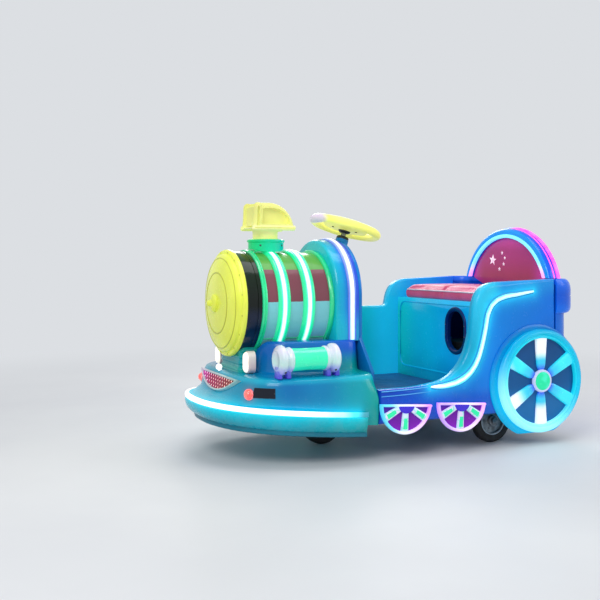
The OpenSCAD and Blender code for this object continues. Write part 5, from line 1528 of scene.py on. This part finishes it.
def wall_outline(low, closed):
    """Outline of a side wall in X and Z, clockwise, its front edge sweeping down to the height low."""
    b, top = SWEEP_X - (0.034 if closed else 0.0), WALL_TOP
    e, front = b + SWEEP_L, BODY_REAR_X - 2 * GAP
    pts = [(WALL_REAR_X, BODY_Z0), (WALL_REAR_X, top + 0.012)]
    pts += curve((b - 0.170, top), (b - 0.070, top - 0.004), (b - 0.016, top - 0.034),
                 (b - 0.002, top - 0.160), 22)
    if closed:
        pts += curve((b, low + 0.008), (b + 0.008, low), (b + 0.030, low), (b + 0.050, low), 6)
    else:
        pts += curve((b + 0.004, top - 0.194), (b + 0.018, low + 0.166), (b + 0.080, low + 0.038),
                     (e, low + 0.016), 34)
        pts += curve((e, low + 0.016), (e + 0.050, low + 0.009), (e + 0.110, low), (e + 0.180, low), 10)
    return pts + [(front, low), (front, BODY_Z0)]


def between(table, x):
    """Value at x of a table of (x, value), with straight lines between its rows."""
    for (a, u), (b, v) in zip(table, table[1:]):
        if x <= b:
            return u + (v - u) * (x - a) / (b - a)
    return table[-1][1]


def walls():
    piece("left_wall_moulded", side_pad(wall_outline(SILL_Z, False), WALL_IN_Y, WALL_Y, 0.014, 0.026, 8),
          M["left_wall"],
          replaces="left_wall", angle=40)
    piece("right_wall_moulded", side_pad(wall_outline(SIDE_Z, True), -WALL_IN_Y, -WALL_Y, 0.014, 0.026, 8),
          M["right_wall"],
          replaces="right_wall", angle=40)
    # S-shaped light strip, thick low down and tapering at its ends, in a raised seat
    n, t = len(S_PATH), WALL_LED_T
    strip = [(1.0, 0.0), (0.97, 0.35), (0.86, 0.7), (0.62, 0.93), (0.3, 1.03), (0.0, 1.06)]
    strip += [(-u, v) for u, v in reversed(strip[:-1])]
    seat = mm(0, 0, (6.5, 0), (5, 3), (1, 4.2), (-2, 4.2))
    rings, lips = [], []
    for i, (x, z) in enumerate(S_PATH):
        a, b = Vector(S_PATH[max(i - 1, 0)]), Vector(S_PATH[min(i + 1, n - 1)])
        d = (b - a).normalized()
        w = WALL_LED_W / 2 * between(S_WIDTH, i / (n - 1))
        rings.append([(x + w * u * d.y, WALL_Y + GAP + t * v, z - w * u * d.x) for u, v in strip])
        edge = [(w + u, v) for u, v in seat]
        lips.append([(x + u * d.y, WALL_Y + GAP + v, z - u * d.x)
                     for u, v in edge + [(-u, v) for u, v in reversed(edge)]])
    piece("wall_strips", both(loft(rings)), M["wall_led"], replaces="wall_lights")
    piece("wall_strip_seats", both(loft(lips)), M["strip_seat"])
    # Two thin beads along the sill
    beads = []
    for z0, r in ((0.346, 0.0028), (0.322, 0.0022)):
        path = [(0.232 - 0.29 * i / 12, WALL_Y + 0.0002, z0 + 0.008 * (i / 12) ** 2) for i in range(13)]
        beads.append(tube(path, [r * min(1.0, 0.3 + 3 * (1 - i / 12)) for i in range(13)], 8))
    piece("sill_beads", beads, M["bead"])


def rear_path(d, side=1.0, n=24):
    half = []
    for i in range(n + 1):
        a = pi / 2 * i / n
        e = d * (side + (1 - side) * sin(a))
        half.append((WALL_REAR_X - (REAR_R + e) * sin(a), WALL_Y - REAR_R + (REAR_R + e) * cos(a)))
    return [(x - GAP, -y) for x, y in half] + [(x - GAP, y) for x, y in reversed(half)]


def rear():
    z1 = WALL_TOP - 0.020
    rings = [[(x, y, z) for x, y in rear_path(d)] for d, z in ((0.0, BODY_Z0 + 0.003), (0.0, z1),
            (-REAR_T, z1), (-REAR_T, BODY_Z0), (-0.003, BODY_Z0))]
    piece("rear_wall_moulded", loft(list(zip(*rings))), M["rear"], replaces="rear_wall")
    b, top = RIM_BULGE, WALL_TOP + 0.012
    profile = [(GAP, RIM_Z0)]
    profile += mm(b, RIM_Z0, (-28, 1), (-14, 6), (-4, 18), (0, 34), (0, 90), (-2, 94), (-2, 98), (0, 102))
    profile += mm(b, top, (0, -60), (-3, -40), (-10, -22), (-20, -9), (-34, -1), (-42, 0))
    profile += [(-REAR_T + 0.004, top), (-REAR_T, top - 0.004), (-REAR_T, z1 + GAP), (GAP, z1 + GAP)]
    paths = [rear_path(d, 0.14 if d > GAP else 1.0) for d, _ in profile]
    rings = [[(paths[i][j][0], paths[i][j][1], profile[i][1]) for i in range(len(profile))]
             for j in range(len(paths[0]))]
    piece("rear_rim_moulded", loft(rings), M["rim"], replaces="rear_rim", angle=50)


def stadium_ring(y, z, half_h, r, n=24):
    """Outline of the upright oval hatch, in Y and Z."""
    c = half_h - r
    pts = [(y + r * cos(a), z + c + r * sin(a)) for a in angles(pi, n)]
    return pts + [(y + r * cos(a), z - c + r * sin(a)) for a in (pi + pi * i / n for i in range(n + 1))]


def seat_details():
    finish_node("seat_box", M["seat_box"], bevel=0.004)
    r = 0.7 * HATCH_R
    rings = []
    for d, x in ((-0.0015, -0.019), (-0.0015, 0.002), (0.003, 0.006), (0.009, 0.008), (0.018, 0.0075),
                 (0.022, 0.004), (0.023, -0.001)):
        rings.append([(SEAT_X + x, y, z) for y, z in stadium_ring(HATCH_Y, HATCH_Z, HATCH_R + d, r + d)])
    piece("hatch_rim", loft(rings, around=True), M["hatch_rim"])
    # Raised border of the seat front
    y1 = WALL_IN_Y - 0.004
    path = rounded(oblong(0.03 - y1, y1 - 0.03, FLOOR_Z + 0.06, DECK_Z - 0.024), 0.06, 8)
    piece("seat_border", tube([(SEAT_X + 0.0005, y, z) for y, z in path], 0.005, 10, closed=True),
          M["seat_trim"])
    screws = [dome(Vector((SEAT_X + 0.0075, HATCH_Y + s * (r + 0.012), HATCH_Z + t)), (1, 0, 0), 0.0045,
                   0.0028, 14, 4)
             for s in (-1, 1) for t in (-0.03, 0.03)]
    piece("hatch_screws", screws, M["screw"])


BUTTON_Y = 0.235


def cushion():
    """The bench cushion: a crowned block, blown up by a cloth simulation, with piping and a seam."""
    lo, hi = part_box("seat_cushion")
    x0, x1, y0, y1 = lo.x + 0.006, hi.x - 0.010, lo.y + 0.004, hi.y - 0.004
    z0, z1 = lo.z + 0.001, hi.z - 0.014
    outline = rounded(oblong(x0, x1, y0, y1), 0.035, 6)
    rings = []
    for d, z in ((0.012, z0), (0.003, z0 + 0.004), (0.0, z0 + 0.014), (0.0, z1 - 0.016),
                 (0.004, z1 - 0.006), (0.014, z1)):
        pts = [(p[0] + (x0 + x1 - 2 * p[0]) * d / (x1 - x0), p[1] + (y0 + y1 - 2 * p[1]) * d / (y1 - y0))
               for p in outline]
        rings.append([(x, y, z) for x, y in pts])
    pts, faces = loft(rings)
    ob = piece("seat_pad", (pts, faces), M["cushion"], replaces="seat_cushion", angle=180)
    modifier(ob, "REMESH", mode="VOXEL", voxel_size=0.0075)
    applied(ob)
    rest = [v.co.copy() for v in ob.data.vertices]
    cloth = modifier(ob, "CLOTH")
    settings = {"use_pressure": True, "uniform_pressure_force": 4.0, "quality": 5, "mass": 0.3,
                "tension_stiffness": 15.0, "compression_stiffness": 15.0, "shear_stiffness": 5.0,
                "bending_stiffness": 0.5}
    for key, value in settings.items():
        setattr(cloth.settings, key, value)
    cloth.settings.effector_weights.gravity = 0.0
    cloth.point_cache.frame_start, cloth.point_cache.frame_end = 1, 20
    for f in range(1, 21):
        scene.frame_set(f)
    dg = bpy.context.evaluated_depsgraph_get()
    blown = [v.co.copy() for v in ob.evaluated_get(dg).data.vertices]
    ob.modifiers.clear()
    scene.frame_set(1)
    most = 0.024
    for v, a, b in zip(ob.data.vertices, rest, blown):
        d = b - a
        if d.length > most:
            d *= most / d.length
        p = a + d
        u, w = (p.x - x0) / (x1 - x0), (p.y - y0) / (y1 - y0)
        crown = max(0.0, min(1.0, 4 * u * (1 - u))) ** 0.5 * max(0.0, min(1.0, 4 * w * (1 - w))) ** 0.35
        if p.z > z0 + 0.02:
            p.z += 0.010 * crown
        seam = exp(-((p.y / 0.010) ** 2))
        if p.z > z0 + 0.012:
            p.z -= 0.012 * seam
            p.x -= 0.005 * seam * max(0.0, (u - 0.9) * 10)
        for c in (-BUTTON_Y, BUTTON_Y):
            dent = exp(-(((p.y - c) ** 2 + (p.x - (x0 + x1) / 2) ** 2) / 0.0009))
            if p.z > z0 + 0.03:
                p.z -= 0.014 * dent
        p.z = max(p.z, lo.z + 0.0003)
        p.x = min(max(p.x, lo.x + 0.001), hi.x + 0.006)
        p.y = min(max(p.y, lo.y - 0.008), hi.y + 0.008)
        v.co = p
    modifier(ob, "SUBSURF", levels=1, render_levels=1)
    top = hi.z - 0.013
    around = rounded(oblong(x0, x1, y0, y1), 0.04, 10)
    near = [v.co.copy() for v in ob.data.vertices if abs(v.co.z - top + 0.003) < 0.008]
    near = [min(near, key=lambda q: (q.x - p.x) ** 2 + (q.y - p.y) ** 2)
            for p in spaced(around + around[:1], 120)[:-1]]
    edge = [Vector((q.x, q.y, top - 0.003)) for q in near]
    for _ in range(4):
        edge = [(edge[i - 1] + 2 * edge[i] + edge[(i + 1) % len(edge)]) / 4 for i in range(len(edge))]
    piece("seat_piping", tube(edge, 0.0042, 10, closed=True), M["piping"])
    buttons = [dome(Vector(((x0 + x1) / 2, c, hi.z - 0.018)), (0, 0, 1), 0.013, 0.006, 24, 6)
               for c in (-BUTTON_Y, BUTTON_Y)]
    piece("seat_buttons", buttons, M["piping"])


def back_point(d, j, n):
    """Y and Z at step j of n round the backrest's outline moved outwards by d, from the rim's top up."""
    h = BACK_TOP - BACK_SPRING + d
    a0 = asin((WALL_TOP + 0.012 + GAP - BACK_SPRING) / h)
    a = a0 + (pi - 2 * a0) * j / n
    return -(BACK_Y + d) * cos(a), BACK_SPRING + h * sin(a)


def back_sweep(profile, n=90):
    return loft([[(x, *back_point(o, j, n)) for o, x in profile] for j in range(n + 1)])


def star(centre, r, turn):
    """A flat five-pointed star that stands out of the backrest panel."""
    x, y, z = centre
    lift = 0.0022
    outline = []
    for k in range(10):
        a = pi / 2 + turn + pi * k / 5
        q = r if k % 2 == 0 else 0.42 * r
        outline.append((y + q * cos(a), z + q * sin(a)))
    base = [(x - 0.001, u, v) for u, v in outline]
    rim = [(x + 0.6 * lift, u, v) for u, v in outline]
    pts = base + rim + [(x + 1.6 * lift, y, z)]
    n = 10
    faces = [tuple(range(n - 1, -1, -1))] + [(i, (i + 1) % n, n + (i + 1) % n, n + i) for i in range(n)]
    faces += [(n + i, n + (i + 1) % n, 2 * n) for i in range(n)]
    return pts, faces


def backrest():
    b, x0 = -BACK_BAND, BACK_X - BACK_T
    w = b + 0.022
    prof = [(b, BACK_X - 0.012)] + mm(b, x0, (0, 12), (2, 6), (6, 2), (12, 0))
    prof += mm(0, x0, (-16, 0), (-6, 2), (-1, 7), (0, 14))
    prof += mm(0, BACK_X, (0, -22), (-1.5, -13), (-6, -5), (-13, -1), (-20, 0))
    prof += mm(w, BACK_X, (2, 0), (0, -2), (0, -12))
    piece("arch_moulded", back_sweep(prof), M["arch"], replaces="backrest_arch", angle=50)
    front = [(b + GAP, BACK_X - 0.0117)]
    front += mm(b, BACK_X, (21.7, -11.7), (21.7, -1), (19, 3.5), (13, 5.5), (8, 5.5), (3, 3.5))
    front += [(b + GAP, BACK_X - 0.001)]
    outer = [(GAP, x0 + 0.012)]
    outer += mm(0, x0, (5, 13), (8.5, 17), (9, 24), (8.5, 31), (5, 35))
    outer += [(GAP, x0 + 0.036)]
    thin = [(GAP, x0 + 0.050)] + mm(0, x0, (3, 51), (3.5, 54), (3, 57)) + [(GAP, x0 + 0.058)]
    piece("arch_strips", [back_sweep(front), back_sweep(outer), back_sweep(thin)], M["back_led"],
          replaces="backrest_lights")
    # Panel with a shallow cushion-like bulge
    n, rows = 90, 18
    edge = [back_point(b - GAP, j, n) for j in range(n + 1)]
    z0 = DECK_Z + GAP
    xf, xb = BACK_X - 0.020, BACK_X - 0.046
    pts = []
    for i in range(rows + 1):
        t = 1 - i / rows
        bulge = 0.013 * (1 - t ** 3)
        for y, z in edge:
            pts.append((xf + bulge - 0.004 * (t > 0.97), y * t, z0 + (z - z0) * t))
    nn = n + 1
    faces = [(i * nn + j, i * nn + j + 1, (i + 1) * nn + j + 1, (i + 1) * nn + j) for i in range(rows)
             for j in range(n)]
    k = len(pts)
    pts = pts + [(xb, y, z) for y, z in edge] + [(xb, 0.0, z0)]
    faces += [(j, k + j, k + j + 1, j + 1) for j in range(n)]
    faces += [(k + j, k + nn, k + j + 1) for j in range(n)]
    faces += [tuple([i * nn for i in range(rows + 1)] + [i * nn + n for i in range(rows - 1, -1, -1)]
                    + [k + n, k + nn, k])]
    piece("backrest_moulded", (pts, faces), M["panel"], replaces="backrest_panel")
    stars = []
    for px, py, r in STAR_PIXELS:
        y, z = star_place(px, py)
        t = max(abs(y) / 0.356, (z - z0) / 0.35)
        stars.append(star((xf + 0.013 * (1 - min(t, 1.0) ** 3) + 0.0004, y, z), r, turn=0.02 * (px - 500)))
    piece("backrest_stars", stars, M["star"])


# Places of the backrest's stars in the photograph's pixels, with their radii in metres
STAR_PIXELS = [(493.0, 260.0, 0.034), (502.0, 253.0, 0.012), (505.0, 258.0, 0.011), (504.0, 264.0, 0.012),
               (500.0, 269.0, 0.013)]


def star_place(px, py):
    """Y and Z on the backrest for a place of the view, through the camera's geometry."""
    x = BACK_X - 0.012
    k = (px - PICTURE / 2) / FOCAL
    y = (k * (CAM_DEPTH - SIN * x) - CAM_LAT + COS * x) / (SIN + k * COS)
    depth = CAM_DEPTH - COS * y - SIN * x
    return y, CAM_Z - (py - PICTURE / 2 + PICTURE * SHIFT) / FOCAL * depth


# Ornamental wheels

def disc_xz(centre, y, profile, steps=128):
    """A profile of (radius, height out of y) turned about an axis along Y."""
    return turned(profile, (centre[0], y, centre[1]), (0, 1, 0), steps)


def large_wheels():
    y0 = WALL_Y + GAP
    c = (LARGE_X, LARGE_Z)
    out = LARGE_Y - y0
    rim_in = LARGE_R - LARGE_RIM
    prof = [(0.0, 0.0)]
    prof += mm(FENDER_R, 0, (0, 0), (0, 3), (-2, 7), (-8, 10), (-16, 11), (-24, 9.5), (-30, 8))
    prof += [(0.0, 0.008)]
    ob = piece("wheel_fenders", both(disc_xz((c[0] + FENDER_DX, c[1]), y0, prof, 160)), M["fender"])
    for v in ob.data.vertices:
        v.co.z = max(v.co.z, LARGE_Z - LARGE_R)
    back = both(disc_xz(c, y0, [(0.0, 0.006), (LARGE_R - 0.02, 0.006), (LARGE_R - 0.02, 0.0135),
                                (0.0, 0.0135)], 128))
    piece("large_backings", back, M["large_back"])
    rim = [(rim_in, 0.012)]
    rim += mm(rim_in, out, (0, -10), (1.5, -5.5), (5, -3.5), (9.5, -4.5), (12, -8), (15, -9), (18, -6))
    for k in range(1, 10):
        a = pi / 2 * k / 9
        rim.append((rim_in + 0.020 + 0.0275 * (1 - cos(a)), out - 0.004
                    + 0.004 * sin(pi * min(k / 5, 1.0) / 2)
                    - (0.0 if k < 6 else 0.013 * ((k - 5) / 4) ** 1.6)))
    rim += [(LARGE_R, out - 0.024), (LARGE_R, 0.006), (rim_in, 0.006)]
    piece("large_rims", both(disc_xz(c, y0, rim, 160)), M["large_rim"], replaces="large_wheels", angle=55)
    spokes = []
    for k in range(6):
        a = radians(30 + 60 * k)
        u, v = Vector((cos(a), sin(a))), Vector((-sin(a), cos(a)))
        rows = []
        for i in range(17):
            t = i / 16
            r = LARGE_HUB - 0.006 + (rim_in + 0.002 - LARGE_HUB + 0.006) * t
            w = 0.0235 + 0.0135 * t ** 0.8 - 0.010 * max(0.0, 1 - t * 6) ** 1.5
            h = (out - 0.009) - 0.004 * (1 - t) * 0.5
            sec = [(-w, 0.012), (-w, h - 0.008), (-w * 0.93, h - 0.003), (-w * 0.8, h - 0.0005),
                   (-w * 0.4, h + 0.0012), (0.0, h + 0.0018),
                   (w * 0.4, h + 0.0012), (w * 0.8, h - 0.0005), (w * 0.93, h - 0.003), (w, h - 0.008),
                   (w, 0.012)]
            rows.append([(c[0] + u.x * r + v.x * s, y0 + q, c[1] + u.y * r + v.y * s) for s, q in sec])
        spokes.append(loft(rows))
    piece("large_spokes", both(spokes), M["large_spoke"])
    hub = [(0.0, 0.012)]
    hub += mm(LARGE_HUB, 0, (-10, 12), (-2, 18), (0, 24))
    hub += mm(LARGE_HUB, out, (0, -10), (-2, -4), (-5, -1), (-9, -1), (-12, -4))
    hub += [(0.0, out - 0.004)]
    piece("large_hub_rings", both(disc_xz(c, y0, hub, 72)), M["hub_ring"], angle=50)
    mint = [(0.0, out - 0.0045), (LARGE_HUB - 0.0125, out - 0.0045), (LARGE_HUB - 0.013, out - 0.0025)]
    mint += [((LARGE_HUB - 0.014) * cos(a), out - 0.0025 + 0.0022 * sin(a)) for a in angles(pi / 2, 8, 1)]
    mint[-1] = (0.0, mint[-1][1])
    piece("large_hub_caps", both(disc_xz(c, y0, mint, 64)), M["hub_mint"])


# The half wheels lean forward by a little
HALF_TURN = radians(4.0)


def half_wheels():
    y0 = WALL_Y + GAP
    backs, rims, spokes, inserts, hubs = [], [], [], [], []
    for k in (0, 1):
        cx, cz = HALF_X - k * HALF_PITCH, HALF_Z + 0.007 - k * (HALF_DROP + 0.007)

        def at(x, h, z):
            return (cx + x * cos(HALF_TURN) - z * sin(HALF_TURN), y0 + h,
                    cz + x * sin(HALF_TURN) + z * cos(HALF_TURN))
        n = 64
        arc = [pi + pi * i / n for i in range(n + 1)]
        # Rim: a rounded section round the half circle and along the bar
        bevel = mm(0, 0, (-5, 4), (-5, 18), (-4, 22), (-1, 24.5), (3, 25.5), (6, 24.5), (8.8, 22),
                   (10, 18), (10, 4))
        rings = []
        for a in arc:
            r = HALF_R - 0.010
            rings.append([at((r + d) * cos(a), h * 0.94, (r + d) * sin(a)) for d, h in bevel])
        rims.append(loft(rings))
        bar = mm(0, 0, (-12, 4), (-12, 18), (-10.5, 21.5), (-8, 23.5), (-4, 23.5), (-1.5, 21.5), (0, 18),
                 (0, 4))
        rims.append(loft([[at(x, h, z) for z, h in bar] for x in (-HALF_R, HALF_R)]))
        m = 40
        disc = [((HALF_R - 0.006) * cos(pi + pi * i / m), (HALF_R - 0.006) * sin(pi + pi * i / m))
                for i in range(m + 1)]
        backs.append(loft([[at(x, h, z) for x, z in disc] for h in (0.0, 0.006)]))
        for deg in (-150, -90, -30):
            a = radians(deg)
            u, v = Vector((cos(a), sin(a))), Vector((-sin(a), cos(a)))

            def bar_rows(r0, r1, w0, w1, h0, h1):
                rows = []
                for i in range(9):
                    t = i / 8
                    r, w = r0 + (r1 - r0) * t, w0 + (w1 - w0) * t
                    sec = [(-w, h0), (-w, h1 - 0.004), (-w * 0.85, h1 - 0.001), (0.0, h1),
                           (w * 0.85, h1 - 0.001), (w, h1 - 0.004), (w, h0)]
                    rows.append([at(u.x * r + v.x * s, h, u.y * r + v.y * s) for s, h in sec])
                return loft(rows)
            spokes.append(bar_rows(0.036, HALF_R - 0.012, 0.0150, 0.0205, 0.004, 0.0195))
            inserts.append(bar_rows(0.070, HALF_R - 0.026, 0.0105, 0.0140, 0.015, 0.0212))
        hub = [(cos(a) * 0.046, sin(a) * 0.040 - 0.004) for a in (pi + pi * i / 24 for i in range(25))]
        hubs.append(loft([[at(x * s, h, min(z * s, -0.004)) for x, z in hub]
                          for s, h in ((1.0, 0.004), (1.0, 0.0205), (0.96, 0.0225), (0.88, 0.0232))]))
    piece("half_rims", both(rims), M["half_rim"], replaces="half_wheels", angle=50)
    piece("half_backings", both(backs), M["half_back"])
    piece("half_spokes", both(spokes), M["half_spoke"], angle=50)
    piece("half_inserts", both(inserts), M["half_insert"])
    piece("half_hubs", both(hubs), M["half_hub"])


# Running gear

WHEELS = {"front": ("front_wheel", (0.310, 0.0)), "rear_left": ("rear_left_wheel", (-0.552, 0.352)),
          "rear_right": ("rear_right_wheel", (-0.552, -0.352))}


def running_gear():
    for name, (body, (x, y)) in WHEELS.items():
        h = TYRE_W / 2
        r0 = HUB_R + GAP
        # Tyre with two grooves round it
        prof = [(r0, -h + 0.004), (r0 + 0.004, -h + 0.001), (r0 + 0.010, -h), (r0 + 0.014, -h + 0.0015),
                (r0 + 0.018, -h), (TYRE_R - 0.014, -h),
                (TYRE_R - 0.008, -h + 0.002), (TYRE_R - 0.003, -h + 0.007), (TYRE_R, -h + 0.014)]
        half = prof + mm(TYRE_R, 0, (0, -10.5), (-4, -9.5), (-4, -6.5), (0, -5.5))
        prof = half + [(r, -t) for r, t in reversed(half)]
        piece(name + "_tread", turned(prof, (x, y, TYRE_R), (0, 1, 0), 60), M["tyre"], body=body,
              replaces=name + "_tyre", angle=45)
        finish_node(name + "_hub", M["hub"], bevel=0.0012)
        ring = []
        for s in (-1, 1):
            ring.append(turned([(HUB_R - 0.0045, s * 0.0238), (HUB_R - 0.0035, s * 0.0258),
                                (HUB_R - 0.001, s * 0.0262), (HUB_R + 0.0005, s * 0.0246),
                                (HUB_R - 0.001, s * 0.0232)], (x, y, TYRE_R), (0, 1, 0), 64))
        piece(name + "_hub_ring", ring, M["ring"], body=body)
        bolts = []
        for k in range(5):
            a = 2 * pi * k / 5
            for s in (-1, 1):
                c = Vector((x + 0.046 * cos(a), y + s * 0.007, TYRE_R + 0.046 * sin(a)))
                bolts.append(dome(c, (0, s, 0), 0.006, 0.0045, 6, 2, 0.6))
        piece(name + "_hub_bolts", bolts, M["steel"], body=body)
    for node in ("chassis", "front_fork"):
        finish_node(node, M["frame"], bevel=0.0015)
    finish_node("rear_axle", M["steel"], bevel=0.001)
    finish_node("steering_shaft", M["shaft"])
    finish_node("dash_panel", M["dash"], bevel=0.003)
    finish_node("floor_pan", M["floor"], bevel=0.001)
    finish_node("battery", M["battery"], bevel=0.006)
    finish_node("pedal", M["pedal"], bevel=0.003)


def driver_place():
    """Small fittings of the driver's place: collar of the shaft, pedal ribs, battery lid."""
    part = turned(mm(0, 0, (14.5, -69), (30, -69), (34, -64), (34, -56), (28, -50), (14.5, -48)),
                  (0, 0, 0), (0, 0, 1), 40)
    piece("cowl_collar", put(part), M["black"])
    lo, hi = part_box("pedal")
    ribs = []
    for i in range(6):
        t = (i + 0.7) / 6.4
        x, z = lo.x + (hi.x - 0.014 - lo.x) * t, lo.z + 0.008 + (hi.z - lo.z - 0.008) * t
        ribs.append(tube([(x, lo.y + 0.008, z + 0.001), (x, (lo.y + hi.y) / 2, z + 0.0012),
                          (x, hi.y - 0.008, z + 0.001)], 0.0026, 8))
    piece("pedal_ribs", ribs, M["pedal"])
    lo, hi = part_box("battery")
    lid = rounded(oblong(lo.x - 0.003, hi.x + 0.003, lo.y - 0.003, hi.y + 0.003), 0.012, 4)
    piece("battery_lid", slab(lid, "Z", hi.z - 0.030, hi.z + 0.004, 0.004), M["battery"])
    posts = [turned(mm(0, 0, (0, 0), (10, 0), (9, 14), (7, 17), (0, 17)),
                    (hi.x - 0.045, s * 0.10, hi.z + 0.003), (0, 0, 1), 24)
             for s in (-1, 1)]
    piece("battery_posts", posts, M["steel"])


# Camera, light, backdrop

BACKDROP = "#dcdfe3"
# The solved camera: size of the picture and focal length in pixels, its place across the car's nearer
# side, its distance, its height, and its turn round the car
PICTURE, FOCAL, CAM_LAT, CAM_DEPTH, CAM_Z = 600.0, 850.0, 0.399, 4.769, 1.0
SHIFT = 40.0 / PICTURE
PSI = radians(25.0)
COS, SIN = cos(PSI), sin(PSI)


def set_stage():
    cam = linked("camera", bpy.data.cameras.new("camera"))
    cam.data.sensor_width = 36.0
    cam.data.lens = 36.0 * FOCAL / PICTURE
    cam.data.shift_y = -SHIFT
    cam.location = (COS * CAM_LAT + SIN * CAM_DEPTH, COS * CAM_DEPTH - SIN * CAM_LAT, CAM_Z)
    cam.rotation_mode = "QUATERNION"
    cam.rotation_quaternion = Vector((-SIN, -COS, 0.0)).to_track_quat("-Z", "Y")
    scene.camera = cam
    scene.view_settings.view_transform = "Standard"

    mesh = bpy.data.meshes.new("floor")
    mesh.from_pydata([(-60, -60, 0), (60, -60, 0), (60, 60, 0), (-60, 60, 0)], [], [(0, 1, 2, 3)])
    floor = linked("floor", mesh)
    sh = Shader("studio_floor")
    sh.set("Base Color", sh.mix(sh.span(sh.noise(0.8, 4.0), 0.3, 0.7), "#dcdddf", "#e2e3e4"))
    sh.set("Roughness", sh.span(sh.noise(3.0, 3.0), 0.3, 0.7, 0.5, 0.6))
    # It fades into the backdrop away from the car
    away = sh.span(sh.vec("LENGTH", sh.place, out="Value"), 1.5, 5.5)
    ends = sh.node("ShaderNodeEmission")
    ends.inputs["Color"].default_value = rgb(BACKDROP)
    mixed = sh.node("ShaderNodeMixShader")
    sh.link(away, mixed.inputs[0])
    sh.link(sh.bsdf.outputs[0], mixed.inputs[1])
    sh.link(ends.outputs[0], mixed.inputs[2])
    sh.link(mixed.outputs[0], sh.tree.nodes["Material Output"].inputs["Surface"])
    mesh.materials.append(sh.material)

    world = bpy.data.worlds.new("studio")
    world.use_nodes = True
    scene.world = world
    nodes, link = world.node_tree.nodes, world.node_tree.links.new
    back, pale = nodes["Background"], nodes.new("ShaderNodeBackground")
    for node, colour, strength in ((back, "#e8ecf2", 0.55), (pale, BACKDROP, 1.0)):
        node.inputs["Color"].default_value = rgb(colour)
        node.inputs["Strength"].default_value = strength
    # Camera, transmission and glossy rays see the pale backdrop; the others take the studio's light
    rays = nodes.new("ShaderNodeLightPath").outputs
    seen = rays["Is Camera Ray"]
    for ray in ("Is Transmission Ray", "Is Glossy Ray"):
        most = nodes.new("ShaderNodeMath")
        most.operation = "MAXIMUM"
        link(seen, most.inputs[0])
        link(rays[ray], most.inputs[1])
        seen = most.outputs[0]
    mix = nodes.new("ShaderNodeMixShader")
    for value, socket in zip((seen, back.outputs[0], pale.outputs[0]), mix.inputs):
        link(value, socket)
    link(mix.outputs[0], nodes["World Output"].inputs["Surface"])

    def lamp(name, where, size, power):
        ob = linked(name, bpy.data.lights.new(name, "AREA"))
        ob.data.shape = "RECTANGLE"
        ob.data.size, ob.data.size_y = size
        ob.data.energy = power
        ob.location = where
        ob.rotation_mode = "QUATERNION"
        ob.rotation_quaternion = (Vector((0.0, 0.0, 0.6)) - Vector(where)).to_track_quat("-Z", "Y")
    lamp("key", (3.2, 3.0, 3.6), (2.2, 2.2), 95.0)
    lamp("fill", (-3.4, 3.2, 2.4), (2.6, 2.0), 42.0)
    lamp("rim", (-1.6, -3.6, 3.0), (2.6, 1.4), 60.0)
    lamp("top", (0.0, 0.4, 4.4), (3.0, 2.0), 50.0)


for build in (front_body, bumper, front_trim, grille, headlamps, saddle, boiler, smokebox, chimney, hood,
              cylinders, steering, walls, rear, seat_details, cushion, backrest, large_wheels, half_wheels,
              running_gear, driver_place, set_stage):
    build()
